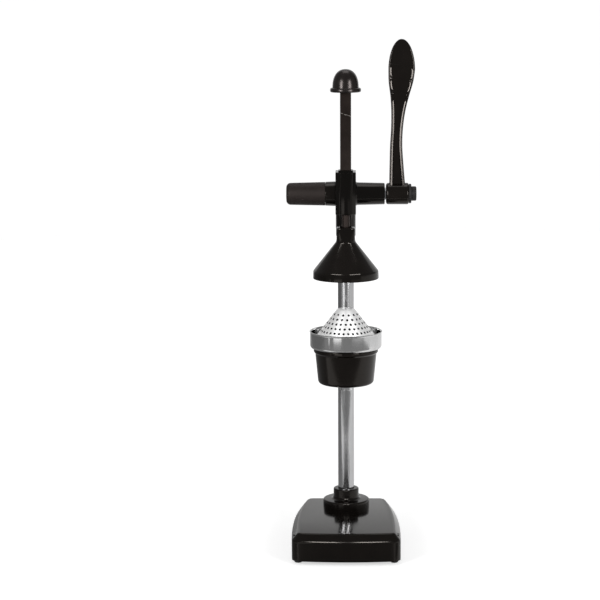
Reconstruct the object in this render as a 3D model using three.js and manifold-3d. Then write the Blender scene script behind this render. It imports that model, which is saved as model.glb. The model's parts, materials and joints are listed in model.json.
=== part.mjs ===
// Lever citrus juice press, in millimetres, with +Z up, -Y towards the user and +X on the lever's side.
// A tube on a cast base carries a bowl holder and a cast head. The lever turns a pinion in the
// head, and the pinion drives a rack with a pressing bell down onto a perforated strainer.
// The origin lies on the worktop, under the middle of the whole press.

import * as THREE from 'three';
import { mergeVertices } from 'three/addons/utils/BufferGeometryUtils.js';
import Module from 'manifold-3d';

const wasm = await Module();
wasm.setup();

// Fits between pieces
const seatGap = 0.3; // between two faces that rest on each other
const slideGap = 0.2; // on each side of the rack in its channel
const runGap = 0.15; // round a shaft, a tube or a screw in its bore
const overrun = 1; // how far a cutting shape passes the face that it cuts

// Facets
const roundSteps = 30; // round the cups and the bell
const barSteps = 20; // round tubes, shafts and knobs
const screwSteps = 12; // round screws, washers and feet
const filletSteps = 2;
const smallRound = 2.1; // rounds smaller than this are one flat chamfer
const curveSteps = 6;

// Column
const columnDiameter = 19;
const columnWall = 1.3;
const plugHeight = 22;

// Base
const footHeight = 5.5; // from the worktop to the skirt
const skirtHeight = 22.9;
const shoulderRise = 8.6;
const shoulderRun = 7;
const baseFrontWidth = 123.8;
const baseBackWidth = 101;
const baseFrontReach = 129; // from the column's axis to the front corners
const baseBackReach = 40.5;
const baseFrontBow = 5; // how far the front bows out between its corners
const baseSideBulge = 4.6; // how far the curves of the sides are drawn out past the front corners
const baseBulgeShare = 0.36; // where that pull acts, from back to front
const baseFrontCorner = 10;
const baseBackCorner = 13;
const baseWall = 3.6;
const baseRib = 2.6;
const baseRibHeight = 12;
const baseRibShares = [0.4, 0.62, 0.84]; // cross ribs, from back to front
const padDiameter = 55; // raised disc round the column's foot
const padHeight = 9;
const socketDiameter = 30;
const socketRise = 22; // from the base's top to the socket's mouth
const socketDrop = 25; // from the base's top to the socket's underside
const socketFloor = 5;
const baseScrewRise = 15; // from the base's top to its set screw

// Feet
const footDiameter = 9.4;
const footRound = 1;
const footStemDiameter = 5;
const footStemLength = 8;
const footBossDiameter = 12;
const footSideInset = 7; // from the skirt's side to the foot's axis
const footFrontInset = 16;
const footBackInset = 14;

// Bowl holder
const glassRoom = 152.4; // from the base's top to the spout's tip
const spoutDrop = 8; // from the holder's underside to the spout's tip
const holderHeight = 41.7;
const holderLipDiameter = 74.6;
const holderStep = 1.8; // how far the lip stands out from the wall
const holderLipHeight = 4;
const holderFootDiameter = 64;
const holderCorner = 4.5;
const holderWall = 3.2;
const holderFloor = 3.8;
const spoutHoleDiameter = 19;
const armWidth = 24;
const clampDiameter = 30;
const clampHeight = 28;
const clampRise = 6.5; // from the holder's underside to the clamp's
const clampSlot = 2.4;
const clampEarReach = 28; // from the column's axis to the back of the ears
const clampEarWidth = 21;
const clampEarCorner = 7;
const clampBoltBack = 21; // from the column's axis to the bolt's

// Juice bowl
const sheet = 0.9; // thickness of the metal of the bowl and the strainer
const ringDiameter = 82.6;
const ringHeight = 20;
const ringCorner = 3;
const ringLip = 1; // how far the rim turns out
const bowlClearance = 0.8; // round the funnel in the holder
const bowlGap = 3.2; // between the bowl's rim and the column behind it
const bowlCorner = 4;
const bowlFloorRise = 6.5; // from the holder's underside to the funnel's foot
const bowlFloorDiameter = 54;
const funnelFall = 3.5;
const spoutDiameter = 13.8;

// Strainer
const strainerTopDiameter = 19.2;
const strainerBottomDiameter = 68.4;
const strainerRise = 25.5; // from the bowl's rim to the strainer's top
const strainerDepth = 6.6; // from the bowl's rim down to where the cone ends
const strainerShoulder = 3;
const strainerTopRound = 2;
const strainerFlange = 3;
const holeDiameter = 1.9;
const holeRows = 6;
const holeRowPitch = 5.37; // along the cone
const firstRowDiameter = 26;
const firstRowHoles = 14;
const extraHoles = 5; // each row has this many more than the row above
const holeSides = 5;
const punchDepth = 13; // the holes taper slightly, to a point this far inside the sheet

// Pressing bell
const fruitRoom = 60.9; // from the bowl's rim to the raised bell's rim
const bellDip = 5.1; // how far the lowered bell's rim dips into the bowl
const bellDiameter = 75.9;
const bellBand = 9;
const bellTaper = 0.45; // how far the band draws in to its top
const bellHeight = 42.2;
const bellWall = 3;
const bellApexWall = 4;
const bellShoulder = 4;
const neckWidth = 21.4;
const neckCorner = 4.5;
const neckHeight = 16.8;
const neckRoot = 4; // how far the neck reaches down into the cone
const topWidth = 13.7; // square top of the neck, which meets the head
const topCorner = 2.2;
const topHeight = 14.4;

// Rack
const rackWidth = 12.5;
const rackRise = 90.8; // from the head's top to the knob, with the bell up
const rackEnd = 6; // how far the rack goes into the knob
const shankDiameter = 9;
const shankLength = 22;
const toothModule = 2;
const pinionTeeth = 12;
const pressureAngle = THREE.MathUtils.degToRad(20);
const rackAddendumShare = 0.65; // shares of the module
const pinionAddendumShare = 0.85;
const rootClearanceShare = 0.3;
const backlash = 0.3;
const flankSteps = 3;
const spareTeeth = 2; // rack teeth past those that mesh, at each end
const pinionLength = 15;
const pinionSideGap = 0.7;

// Knob
const knobDiameter = 35.1;
const knobFlange = 5;
const knobFlangeRound = 1.6;
const knobSideGap = 0.3; // on each side of the rack
const domeDiameter = 29.8;
const domeHeight = 21;
const domePower = 2.3; // 2 would be an ellipse, and more is fuller
const studLength = 20;

// Head
const headWidth = 23.4;
const headHeight = 48.5;
const headBow = 5; // how far the block's front is rounded out
const headFrontWall = 3.2;
const headBackWall = 4;
const headCorner = 10;
const pinionRise = 22; // from the head's underside to the pinion's axis
const channelLipWidth = 17.2; // raised lip round the rack's channel
const channelLipHeight = 2.6;
const channelLipCorner = 3;
const headSocketWall = 2.1; // of the column's socket
const headSocketDrop = 31.7; // how far the column's socket hangs below the block
const headSocketTop = 4; // how far it stays below the block's top
const headSocketRoof = 5;
const webWidth = 15;
const webMargin = 4;
const webDrop = 22; // how far the web reaches down beside the socket
const tubeRootDiameter = 26.1;
const tubeEndDiameter = 24.6;
const tubeEndRound = 1;
const tubeLength = 32.7;
const tubeBore = 19;
const headScrewLow = -19; // heights of the set screws above the head's underside
const headScrewHigh = 11;

// Collar and grip
const collarLap = 0.2; // how far the collar's inner end covers the edge of its bore
const collarOuterDiameter = 27.4;
const collarLength = 11.4;
const collarRound = 1.2;
const nippleDiameter = 19.2;
const nippleLength = 13;
const gripGroove = 0.6; // between collar and grip
const gripLength = 44.3;
const gripInnerDiameter = 27;
const gripOuterDiameter = 25;
const gripRound = 5;
const gripRodDiameter = 8;
const gripRodReach = 36; // how far the rod goes into the grip from its mouth
const gripRodHold = 9; // how far the rod is screwed into the collar

// Pinion shaft
const shaftDiameter = 14;
const shaftOverhang = 1; // how far the shaft passes the collar's bush
const shaftSquare = 10;
const threadDiameter = 8;
const threadEnd = 1.6; // how far the thread passes the nut
const collarBushLength = 11;
const tubeBushLength = 14;

// Lever
const leverGap = 2.3; // between the cross tube and the hub
const hubDiameter = 24.7;
const hubLength = 25.7;
const hubInnerRound = 3;
const hubOuterRound = 2;
const hubCounterbore = 17.8;
const hubCounterboreDepth = 11.5;
const leverReach = 176.4; // from the shaft's axis to the tip
const paddleWidth = 30.3;
const paddleShift = 4.4; // how far the paddle's middle lies outboard of the hub's
const paddleRound = 35; // length of the rounded tip
const leverThickness = 14;
const leverRim = 2.3;
const leverWeb = 7.6; // thickness between the sunk panels
const panelStart = 2.6; // from the hub to the sunk panels
const panelEndShare = 0.63; // where the panels end, as a share of the lever's reach
const panelRound = 3;
const grooveDepth = 1.4;
const grooveRadius = 6;
const grooveFade = 3; // how far each groove takes to reach its full depth
const groovePitch = 15.2;
const grooveCount = 3;
const grooveLean = THREE.MathUtils.degToRad(8);
const firstGrooveShare = 0.655;
// Height along the straight arm, width against the paddle's, and shift against the paddle's
const leverShares = [
  [0.07, 0.6, -0.1],
  [0.23, 0.525, -0.28],
  [0.39, 0.46, -0.38],
  [0.53, 0.445, -0.18],
  [0.67, 0.53, 0.14],
  [0.79, 0.7, 0.5],
  [0.905, 0.92, 0.8],
  [1, 1, 1],
];
// Height against the lever's reach, and thickness against its greatest
const leverThicknessShares = [
  [0.05, 1],
  [0.3, 0.84],
  [0.55, 0.76],
  [0.72, 0.86],
  [0.86, 0.84],
  [0.95, 0.64],
  [1.01, 0.3],
];

// End cap
const capFlangeDiameter = 22.3;
const capFlange = 2.6;
const capNoseDiameter = 16.6;
const capNose = 5.9;
const capNoseRound = 1.6;
const capWall = 1.4;
const capPlug = 2.4;

// Screws, nuts and washers
const baseBoltDiameter = 8;
const baseBoltLength = 22;
const clampBoltDiameter = 6;
const clampBoltLength = 30;
const bellScrewDiameter = 6;
const bellScrewLength = 22;
const studDiameter = 6;
const setScrewDiameter = 6;
const setScrewLength = 5;
const screwBossDiameter = 12;
const screwBossRise = 3.4;
const washerThickness = 1.5;
// Sizes as shares of a screw's diameter
const hexFlatShare = 1.62;
const hexHeadShare = 0.62;
const nutHeightShare = 0.8;
const washerShare = 2;
const buttonShare = 1.75;
const buttonHeightShare = 0.55;
const keyFlatShare = 0.5;
const keyDepthShare = 0.35;

// From the column's axis to the press axis in front of it
const reach = ringDiameter / 2 + ringLip + bowlGap + columnDiameter / 2;

// Heights above the worktop
const baseShoulder = footHeight + skirtHeight;
const baseTop = baseShoulder + shoulderRise;
const holderBottom = baseTop + glassRoom + spoutDrop;
const shelfHeight = holderHeight + seatGap; // of the bowl's shelf above the holder's underside
const rimHeight = shelfHeight + ringHeight;
const bellRim = holderBottom + rimHeight + fruitRoom;
const neckTop = bellHeight + neckHeight + topHeight; // above the bell's rim
const headBottom = bellRim + neckTop + seatGap;
const bellScrewSeat = bellHeight - bellApexWall - washerThickness - 2 * seatGap;
const knobRise = headBottom + headHeight + rackRise - bellRim; // above the bell's rim
const stroke = fruitRoom + bellDip;

// Rack and pinion
const pitchRadius = (toothModule * pinionTeeth) / 2;
const toothPitch = Math.PI * toothModule;
const rackAddendum = toothModule * rackAddendumShare;
const pinionAddendum = toothModule * pinionAddendumShare;
const rootClearance = toothModule * rootClearanceShare;
const pinionBack = rackWidth / 2 - rackAddendum + pitchRadius; // from the press axis to the pinion's
const pinionBore = 2 * (pitchRadius + pinionAddendum + seatGap);
const collarInnerDiameter = pinionBore + 2 * collarLap;

// Places from left to right, from the press axis
const plugEnd = -pinionLength / 2 - pinionSideGap;
const shaftStart = plugEnd - seatGap - collarBushLength - shaftOverhang;
const collarInner = -headWidth / 2 - seatGap;
const collarOuter = collarInner - collarLength;
const nippleEnd = collarOuter - nippleLength;
const gripMouth = collarOuter - gripGroove;
const gripEnd = gripMouth - gripLength;
const tubeEnd = headWidth / 2 + tubeLength;
const hubInner = tubeEnd + leverGap;
const hubOuter = hubInner + hubLength;
const leverX = (hubInner + hubOuter) / 2;
const counterboreFloor = hubOuter - hubCounterboreDepth;
const leverNutStart = counterboreFloor + washerThickness + 2 * seatGap;
const capEnd = hubOuter + seatGap + capFlange + capNose;

// Colours and finishes
const blackEnamel = { color: 0x161310, roughness: 0.22, metalness: 0 };
const greyPlastic = { color: 0x4a4848, roughness: 0.6, metalness: 0 };
const gripPlastic = { color: 0x1f1d1c, roughness: 0.65, metalness: 0 };
const blackPlastic = { color: 0x1c1a18, roughness: 0.35, metalness: 0 };
const rackSteel = { color: 0x2a2320, roughness: 0.42, metalness: 0.7 };
const chrome = { color: 0xc8cacd, roughness: 0.12, metalness: 1 };
const stainless = { color: 0xb9bbbe, roughness: 0.2, metalness: 1 };
const zincSteel = { color: 0x9fa1a3, roughness: 0.35, metalness: 1 };
const bronze = { color: 0x9a7440, roughness: 0.35, metalness: 1 };
const rubber = { color: 0x121212, roughness: 0.8, metalness: 0 };

// Turns a closed geometry into a solid that can be joined and cut.
function solidOf(geometry) {
  geometry.deleteAttribute('normal');
  geometry.deleteAttribute('uv');
  const merged = mergeVertices(geometry);
  const corners = merged.index.array;
  const triVerts = [];
  for (let i = 0; i < corners.length; i += 3) {
    const [a, b, c] = corners.slice(i, i + 3);
    if (a !== b && b !== c && c !== a) triVerts.push(a, b, c);
  }
  return new wasm.Manifold(new wasm.Mesh({
    numProp: 3,
    vertProperties: new Float32Array(merged.attributes.position.array),
    triVerts: new Uint32Array(triVerts),
  }));
}

// Turns a solid back into a geometry.
function geometryOf(solid) {
  const { vertProperties, triVerts } = solid.getMesh();
  const geometry = new THREE.BufferGeometry();
  geometry.setAttribute('position', new THREE.BufferAttribute(vertProperties, 3));
  geometry.setIndex(new THREE.BufferAttribute(triVerts, 1));
  geometry.computeVertexNormals();
  return geometry;
}

function joined(solids) {
  return wasm.Manifold.union(solids);
}

// The points of a line through corners [x, y, radius]. A corner with a radius is rounded.
function filleted(corners, closed = false) {
  const points = [];
  corners.forEach(([x, y, radius = 0], i) => {
    const corner = new THREE.Vector2(x, y);
    if (radius === 0) {
      points.push(corner);
      return;
    }
    const [beforeX, beforeY] = corners.at(i - 1);
    const [afterX, afterY] = corners[closed ? (i + 1) % corners.length : i + 1];
    const back = new THREE.Vector2(beforeX - x, beforeY - y).normalize();
    const ahead = new THREE.Vector2(afterX - x, afterY - y).normalize();
    const half = Math.acos(back.dot(ahead)) / 2;
    const centre = back.clone().add(ahead).setLength(radius / Math.sin(half)).add(corner);
    const start = back.clone().multiplyScalar(radius / Math.tan(half)).add(corner);
    const sweep = -Math.sign(back.cross(ahead)) * (Math.PI - 2 * half);
    const steps = radius < smallRound ? 1 : filletSteps;
    for (let k = 0; k <= steps; k++) {
      points.push(start.clone().rotateAround(centre, (sweep * k) / steps));
    }
  });
  return points;
}

// Moves a line of points sideways: to its right for a positive distance, to its left for a negative.
function offset(points, distance) {
  return points.map((point, i) => {
    const before = points[Math.max(i - 1, 0)];
    const after = points[Math.min(i + 1, points.length - 1)];
    const into = (i > 0 ? point.clone().sub(before) : after.clone().sub(point)).normalize();
    const out = (i < points.length - 1 ? after.clone().sub(point) : into.clone()).normalize();
    const along = into.clone().add(out).normalize();
    const length = distance / along.dot(into);
    return new THREE.Vector2(point.x + along.y * length, point.y - along.x * length);
  });
}

// The outline of sheet metal whose middle follows the points, with its outer face on their right.
function sheetOutline(points) {
  return [...offset(points, sheet / 2), ...offset(points, -sheet / 2).reverse()];
}

// A turned geometry from an outline of [radius, place along the axis], which runs up the outside
// and down the inside.
function turning(outline, axis, steps) {
  const points = outline.map((point) => (point.isVector2 ? point.clone() : new THREE.Vector2(...point)));
  points.push(points[0].clone());
  const geometry = new THREE.LatheGeometry(points, steps);
  if (axis === 'z') geometry.rotateX(Math.PI / 2);
  if (axis === 'x') geometry.rotateZ(-Math.PI / 2);
  return geometry;
}

function turned(outline, { axis = 'z', at = [0, 0, 0], steps = roundSteps } = {}) {
  return solidOf(turning(outline, axis, steps).translate(...at));
}

// The outline of a round bar between two places on its axis.
function bar(diameter, from, to) {
  return [[0, from], [diameter / 2, from], [diameter / 2, to], [0, to]];
}

// The outline of a ring between two places on its axis.
function ring(outer, inner, from, to) {
  return [[outer / 2, from], [outer / 2, to], [inner / 2, to], [inner / 2, from]];
}

function extruded(shape, length) {
  const options = { depth: length, bevelEnabled: false, curveSegments: curveSteps };
  return new THREE.ExtrudeGeometry(shape, options);
}

// Extrudes a shape drawn in X and Y upwards.
function upright(shape, bottom, top) {
  return solidOf(extruded(shape, top - bottom).translate(0, 0, bottom));
}

// Extrudes a shape drawn in X and Z from front to back.
function frontToBack(shape, front, back) {
  return solidOf(extruded(shape, back - front).rotateX(Math.PI / 2).translate(0, back, 0));
}

// Extrudes a shape drawn in Y and Z from left to right.
function leftToRight(shape, left, right) {
  const turn = new THREE.Matrix4().makeBasis(
    new THREE.Vector3(0, 1, 0),
    new THREE.Vector3(0, 0, 1),
    new THREE.Vector3(1, 0, 0),
  );
  return solidOf(extruded(shape, right - left).applyMatrix4(turn).translate(left, 0, 0));
}

// A block between two corners.
function block([x0, y0, z0], [x1, y1, z1]) {
  const geometry = new THREE.BoxGeometry(x1 - x0, y1 - y0, z1 - z0);
  return solidOf(geometry.translate((x0 + x1) / 2, (y0 + y1) / 2, (z0 + z1) / 2));
}

function squareShape(width, corner = 0) {
  const half = width / 2;
  const signs = [[-1, -1], [1, -1], [1, 1], [-1, 1]];
  return new THREE.Shape(filleted(signs.map(([x, y]) => [x * half, y * half, corner]), true));
}

function hexagonShape(flat) {
  const radius = flat / Math.sqrt(3);
  const corners = Array.from({ length: 6 }, (_, i) => {
    const angle = (i * Math.PI) / 3;
    return new THREE.Vector2(radius * Math.cos(angle), radius * Math.sin(angle));
  });
  return new THREE.Shape(corners);
}

function straightHole(diameter, axis, at, from, to, steps = screwSteps) {
  return turned(bar(diameter + 2 * runGap, from, to), { axis, at, steps });
}

// Screws and nuts, along Z with their seat at 0

function makeHexBolt(diameter, length) {
  const head = upright(hexagonShape(diameter * hexFlatShare), -diameter * hexHeadShare, 0);
  return head.add(turned(bar(diameter, -overrun, length), { steps: screwSteps }));
}

function makeButtonScrew(diameter, length) {
  const height = diameter * buttonHeightShare;
  const radius = (diameter * buttonShare) / 2;
  const outline = filleted([[0, -height], [radius, -height, height / 2], [radius, 0], [diameter / 2, 0],
    [diameter / 2, length], [0, length]]);
  const key = hexagonShape(diameter * keyFlatShare);
  return turned(outline, { steps: screwSteps })
    .subtract(upright(key, -height - overrun, diameter * keyDepthShare - height));
}

function makeNut(diameter) {
  const height = diameter * nutHeightShare;
  return upright(hexagonShape(diameter * hexFlatShare), 0, height)
    .subtract(straightHole(diameter, 'z', [0, 0, 0], -overrun, height + overrun));
}

function makeWasher(diameter) {
  const outline = ring(diameter * washerShare, diameter + 2 * runGap, 0, washerThickness);
  return turned(outline, { steps: screwSteps });
}

// A set screw with its point at 0 and its key's socket at the far end.
function makeSetScrew() {
  const key = hexagonShape(setScrewDiameter * keyFlatShare);
  return turned(bar(setScrewDiameter, 0, setScrewLength), { steps: screwSteps })
    .subtract(upright(key, setScrewLength - setScrewDiameter * keyDepthShare, setScrewLength + overrun));
}

// Base and feet

// The base's plan round the column's axis, drawn in by an inset.
function basePlan(inset) {
  const back = baseBackReach - inset;
  const front = inset - baseFrontReach;
  const backHalf = baseBackWidth / 2 - inset;
  const frontHalf = baseFrontWidth / 2 - inset;
  const curve = (from, pull, to) => {
    const ends = [from, pull, to].map((point) => new THREE.Vector2(...point));
    return new THREE.QuadraticBezierCurve(...ends).getPoints(curveSteps).slice(1, -1);
  };
  const pullY = back + (front - back) * baseBulgeShare;
  const side = curve([frontHalf, front], [frontHalf + baseSideBulge, pullY], [backHalf, back]);
  const bow = curve([-frontHalf, front], [0, front - 2 * baseFrontBow], [frontHalf, front]);
  return new THREE.Shape(filleted([
    ...bow.map(({ x, y }) => [x, y]),
    [frontHalf, front, baseFrontCorner],
    ...side.map(({ x, y }) => [x, y]),
    [backHalf, back, baseBackCorner],
    [-backHalf, back, baseBackCorner],
    ...side.map(({ x, y }) => [-x, y]).reverse(),
    [-frontHalf, front, baseFrontCorner],
  ], true));
}

// A plate with the base's plan and a chamfer round its top, which starts at the shoulder.
function chamferedPlate(inset, bottom, shoulder) {
  const geometry = new THREE.ExtrudeGeometry(basePlan(inset), {
    depth: shoulder - bottom,
    bevelThickness: shoulderRise,
    bevelSize: shoulderRun,
    bevelOffset: -shoulderRun,
    bevelSegments: 1,
  });
  const size = baseFrontWidth + baseFrontReach;
  const below = block([-size, -size, bottom - shoulderRise - overrun], [size, size, bottom]);
  return solidOf(geometry.translate(0, 0, bottom)).subtract(below);
}

// The feet's places as [name, x, y].
function footPlaces() {
  const frontX = baseFrontWidth / 2 - footSideInset;
  const backX = baseBackWidth / 2 - footSideInset;
  const frontY = footFrontInset - baseFrontReach;
  const backY = baseBackReach - footBackInset;
  return [
    ['foot_front_left', -frontX, frontY],
    ['foot_front_right', frontX, frontY],
    ['foot_back_left', -backX, backY],
    ['foot_back_right', backX, backY],
  ];
}

function makeBase() {
  const shell = chamferedPlate(0, footHeight, baseShoulder);
  const hollow = chamferedPlate(baseWall, footHeight - overrun, baseShoulder - baseWall);
  const ribTop = baseTop - baseWall + overrun;
  const ribBottom = baseTop - baseWall - baseRibHeight;
  const half = baseFrontWidth / 2 + baseSideBulge;
  const ribs = baseRibShares.map((share) => {
    const y = baseBackReach - (baseBackReach + baseFrontReach) * share;
    return block([-half, y - baseRib / 2, ribBottom], [half, y + baseRib / 2, ribTop]);
  });
  [-1, 1].forEach((side) => {
    const x = (side * padDiameter) / 2;
    const front = -baseFrontReach - baseFrontBow;
    ribs.push(block([x - baseRib / 2, front, ribBottom], [x + baseRib / 2, baseBackReach, ribTop]));
  });
  const footBosses = footPlaces().map(([, x, y]) => turned(
    bar(footBossDiameter, footHeight - 2 * overrun, ribTop),
    { at: [x, y, 0], steps: screwSteps },
  ));
  const hub = turned(bar(socketDiameter, baseTop - socketDrop, ribTop), { steps: barSteps });
  const mouth = baseTop + socketRise;
  const socket = turned(filleted([
    [0, baseTop - overrun],
    [padDiameter / 2, baseTop - overrun],
    [padDiameter / 2, baseTop + padHeight, baseWall / 2],
    [socketDiameter / 2, baseTop + padHeight, baseWall],
    [socketDiameter / 2, mouth, baseRib / 2],
    [0, mouth],
  ]));
  const cuts = footPlaces().map(([, x, y]) => straightHole(
    footStemDiameter, 'z', [x, y, footHeight], -overrun, footStemLength + seatGap,
  ));
  const centre = [0, 0, baseTop];
  const floor = socketFloor - socketDrop;
  cuts.push(straightHole(columnDiameter, 'z', centre, floor, socketRise + overrun, barSteps));
  cuts.push(straightHole(baseBoltDiameter, 'z', centre, -socketDrop - overrun, 0));
  const screwPlace = [0, 0, baseTop + baseScrewRise];
  cuts.push(straightHole(setScrewDiameter, 'y', screwPlace, 0, socketDiameter));
  return shell.subtract(hollow.subtract(joined([...ribs, ...footBosses, hub])))
    .add(socket)
    .subtract(joined(cuts));
}

function makeFoot() {
  return turned(filleted([
    [0, 0],
    [footDiameter / 2, 0, footRound],
    [footDiameter / 2, footHeight - seatGap],
    [footStemDiameter / 2, footHeight - seatGap],
    [footStemDiameter / 2, footHeight + footStemLength],
    [0, footHeight + footStemLength],
  ]), { steps: screwSteps });
}

// Column, along Z with its foot at 0

function columnLength() {
  const top = headBottom + headHeight - headSocketTop - headSocketRoof - seatGap;
  return top - (baseTop - socketDrop + socketFloor + seatGap);
}

function makeColumn() {
  const outline = ring(columnDiameter, columnDiameter - 2 * columnWall, 0, columnLength());
  return turned(outline, { steps: barSteps });
}

function makeColumnPlug() {
  const outer = columnDiameter - 2 * columnWall - 2 * runGap;
  return turned(ring(outer, baseBoltDiameter + 2 * runGap, 0, plugHeight), { steps: screwSteps });
}

// Bowl holder, from the press axis at the holder's underside

function makeHolder() {
  const footRadius = holderFootDiameter / 2;
  const lipRadius = holderLipDiameter / 2;
  const wallRadius = lipRadius - holderStep;
  const lipBottom = holderHeight - holderLipHeight;
  const cup = turned(filleted([
    [0, 0],
    [footRadius, 0, holderCorner],
    [wallRadius, lipBottom - holderStep],
    [lipRadius, lipBottom],
    [lipRadius, holderHeight],
    [0, holderHeight],
  ]));
  const inside = turned(filleted([
    [0, holderFloor],
    [footRadius - holderWall, holderFloor, holderCorner],
    [wallRadius - holderWall, lipBottom - holderStep],
    [wallRadius - holderWall, holderHeight + overrun],
    [0, holderHeight + overrun],
  ]));
  const clampTop = clampRise + clampHeight;
  const arm = block([-armWidth / 2, 0, clampRise], [armWidth / 2, reach, clampTop]);
  const clamp = turned(bar(clampDiameter, clampRise, clampTop), { at: [0, reach, 0], steps: barSteps });
  const ears = leftToRight(new THREE.Shape(filleted([
    [reach, clampRise],
    [reach + clampEarReach, clampRise, clampEarCorner],
    [reach + clampEarReach, clampTop, clampEarCorner],
    [reach, clampTop],
  ], true)), -clampEarWidth / 2, clampEarWidth / 2);
  const slot = block(
    [-clampSlot / 2, reach, clampRise - overrun],
    [clampSlot / 2, reach + clampEarReach + overrun, clampTop + overrun],
  );
  const boltPlace = [0, reach + clampBoltBack, clampRise + clampHeight / 2];
  return joined([cup, arm, clamp, ears]).subtract(joined([
    inside,
    slot,
    turned(bar(spoutHoleDiameter, -overrun, holderFloor + overrun), { steps: barSteps }),
    straightHole(columnDiameter, 'z', [0, reach, 0], clampRise - overrun, clampTop + overrun, barSteps),
    straightHole(clampBoltDiameter, 'x', boltPlace, -clampEarWidth, clampEarWidth),
  ]));
}

// Juice bowl and strainer, from the press axis at the holder's underside

function makeJuiceBowl() {
  const middle = sheet / 2;
  const spoutRadius = spoutDiameter / 2 - middle;
  const ringRadius = ringDiameter / 2 - middle;
  const funnelRadius = holderLipDiameter / 2 - holderStep - holderWall - bowlClearance - middle;
  return turned(sheetOutline(filleted([
    [spoutRadius, -spoutDrop],
    [spoutRadius, bowlFloorRise + middle, bowlCorner],
    [bowlFloorDiameter / 2, bowlFloorRise + funnelFall + middle, bowlCorner],
    [funnelRadius, holderHeight - holderLipHeight - holderStep],
    [funnelRadius, shelfHeight + middle],
    [ringRadius, shelfHeight + middle, ringCorner],
    [ringRadius, rimHeight - 2 * ringLip],
    [ringRadius + ringLip, rimHeight - middle],
  ])));
}

function makeStrainer() {
  const middle = sheet / 2;
  const topRadius = strainerTopDiameter / 2;
  const bottomRadius = strainerBottomDiameter / 2;
  const top = rimHeight + strainerRise - middle;
  const bottom = rimHeight - strainerDepth;
  const flangeHeight = shelfHeight + sheet + seatGap + middle;
  const shell = turned(sheetOutline(filleted([
    [bottomRadius + strainerFlange, flangeHeight],
    [bottomRadius, flangeHeight],
    [bottomRadius, bottom, strainerShoulder],
    [topRadius, top, strainerTopRound],
    [0, top],
  ])));
  const slope = new THREE.Vector2(bottomRadius - topRadius, bottom - top).normalize();
  const tilt = Math.atan2(-slope.y, slope.x);
  const coneLength = punchDepth + sheet;
  const coneRadius = ((holeDiameter / 2) * coneLength) / punchDepth;
  const holes = [];
  for (let row = 0; row < holeRows; row++) {
    const radius = firstRowDiameter / 2 + row * holeRowPitch * slope.x;
    const height = top + ((radius - topRadius) * slope.y) / slope.x;
    const count = firstRowHoles + row * extraHoles;
    for (let i = 0; i < count; i++) {
      const round = (2 * Math.PI * (i + (row % 2) / 2)) / count;
      const cutter = new THREE.ConeGeometry(coneRadius, coneLength, holeSides);
      cutter.rotateX(-Math.PI / 2).translate(0, 0, coneLength / 2 - punchDepth);
      cutter.rotateY(tilt).translate(radius, 0, height);
      holes.push(solidOf(cutter.rotateZ(round)));
    }
  }
  return shell.subtract(joined(holes));
}

// Ram, from the press axis at the raised bell's rim

function makeBell() {
  const rimRadius = bellDiameter / 2;
  const bandRadius = rimRadius - bellTaper;
  const neckRadius = neckWidth / 2;
  const lean = Math.atan2(bandRadius - neckRadius, bellHeight - bellBand);
  const cone = turned(filleted([
    [0, 0],
    [rimRadius, 0],
    [bandRadius, bellBand, bellShoulder],
    [neckRadius, bellHeight],
    [0, bellHeight],
  ]));
  const apex = bellHeight - bellApexWall;
  const apexRadius = neckRadius + bellApexWall * Math.tan(lean) - bellWall / Math.cos(lean);
  const cavity = turned(filleted([
    [0, -overrun],
    [rimRadius - bellWall, -overrun],
    [bandRadius - bellWall, bellBand - bellWall * Math.tan(lean / 2), bellShoulder],
    [apexRadius, apex],
    [0, apex],
  ]));
  const neck = upright(squareShape(neckWidth, neckCorner), bellHeight - neckRoot, bellHeight + neckHeight);
  const top = upright(squareShape(topWidth, topCorner), bellHeight, neckTop);
  const centre = [0, 0, neckTop];
  return joined([cone, neck, top]).subtract(joined([
    cavity,
    straightHole(shankDiameter, 'z', centre, -shankLength - seatGap, overrun),
    straightHole(bellScrewDiameter, 'z', centre, -neckTop, 0),
  ]));
}

// The rack's side view, with one tooth gap facing the pinion when the bell is up.
function rackShape(bottom, top) {
  const back = rackWidth / 2;
  const root = back - rackAddendum - pinionAddendum - rootClearance;
  const halfGap = (y) => {
    const fromPitch = y - (back - rackAddendum);
    return toothPitch / 4 + backlash / 4 + fromPitch * Math.tan(pressureAngle);
  };
  const pinionHeight = headBottom + pinionRise - bellRim;
  const points = [new THREE.Vector2(-back, bottom), new THREE.Vector2(back, bottom)];
  const last = Math.ceil(stroke / toothPitch) + spareTeeth;
  for (let i = -spareTeeth; i <= last; i++) {
    const middle = pinionHeight + i * toothPitch;
    points.push(new THREE.Vector2(back, middle - halfGap(back)));
    points.push(new THREE.Vector2(root, middle - halfGap(root)));
    points.push(new THREE.Vector2(root, middle + halfGap(root)));
    points.push(new THREE.Vector2(back, middle + halfGap(back)));
  }
  points.push(new THREE.Vector2(back, top), new THREE.Vector2(-back, top));
  return new THREE.Shape(points);
}

function makeRack() {
  const bottom = neckTop + seatGap;
  const top = knobRise + rackEnd;
  const square = leftToRight(rackShape(bottom, top), -rackWidth / 2, rackWidth / 2);
  const shank = turned(bar(shankDiameter, neckTop - shankLength, bottom + overrun), { steps: screwSteps });
  const shankEnd = [0, 0, neckTop - shankLength];
  const screwDepth = bellScrewSeat + bellScrewLength + seatGap - (neckTop - shankLength);
  return square.add(shank).subtract(joined([
    straightHole(bellScrewDiameter, 'z', shankEnd, -overrun, screwDepth),
    straightHole(studDiameter, 'z', [0, 0, top], -studLength / 2 - seatGap, overrun),
  ]));
}

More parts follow.
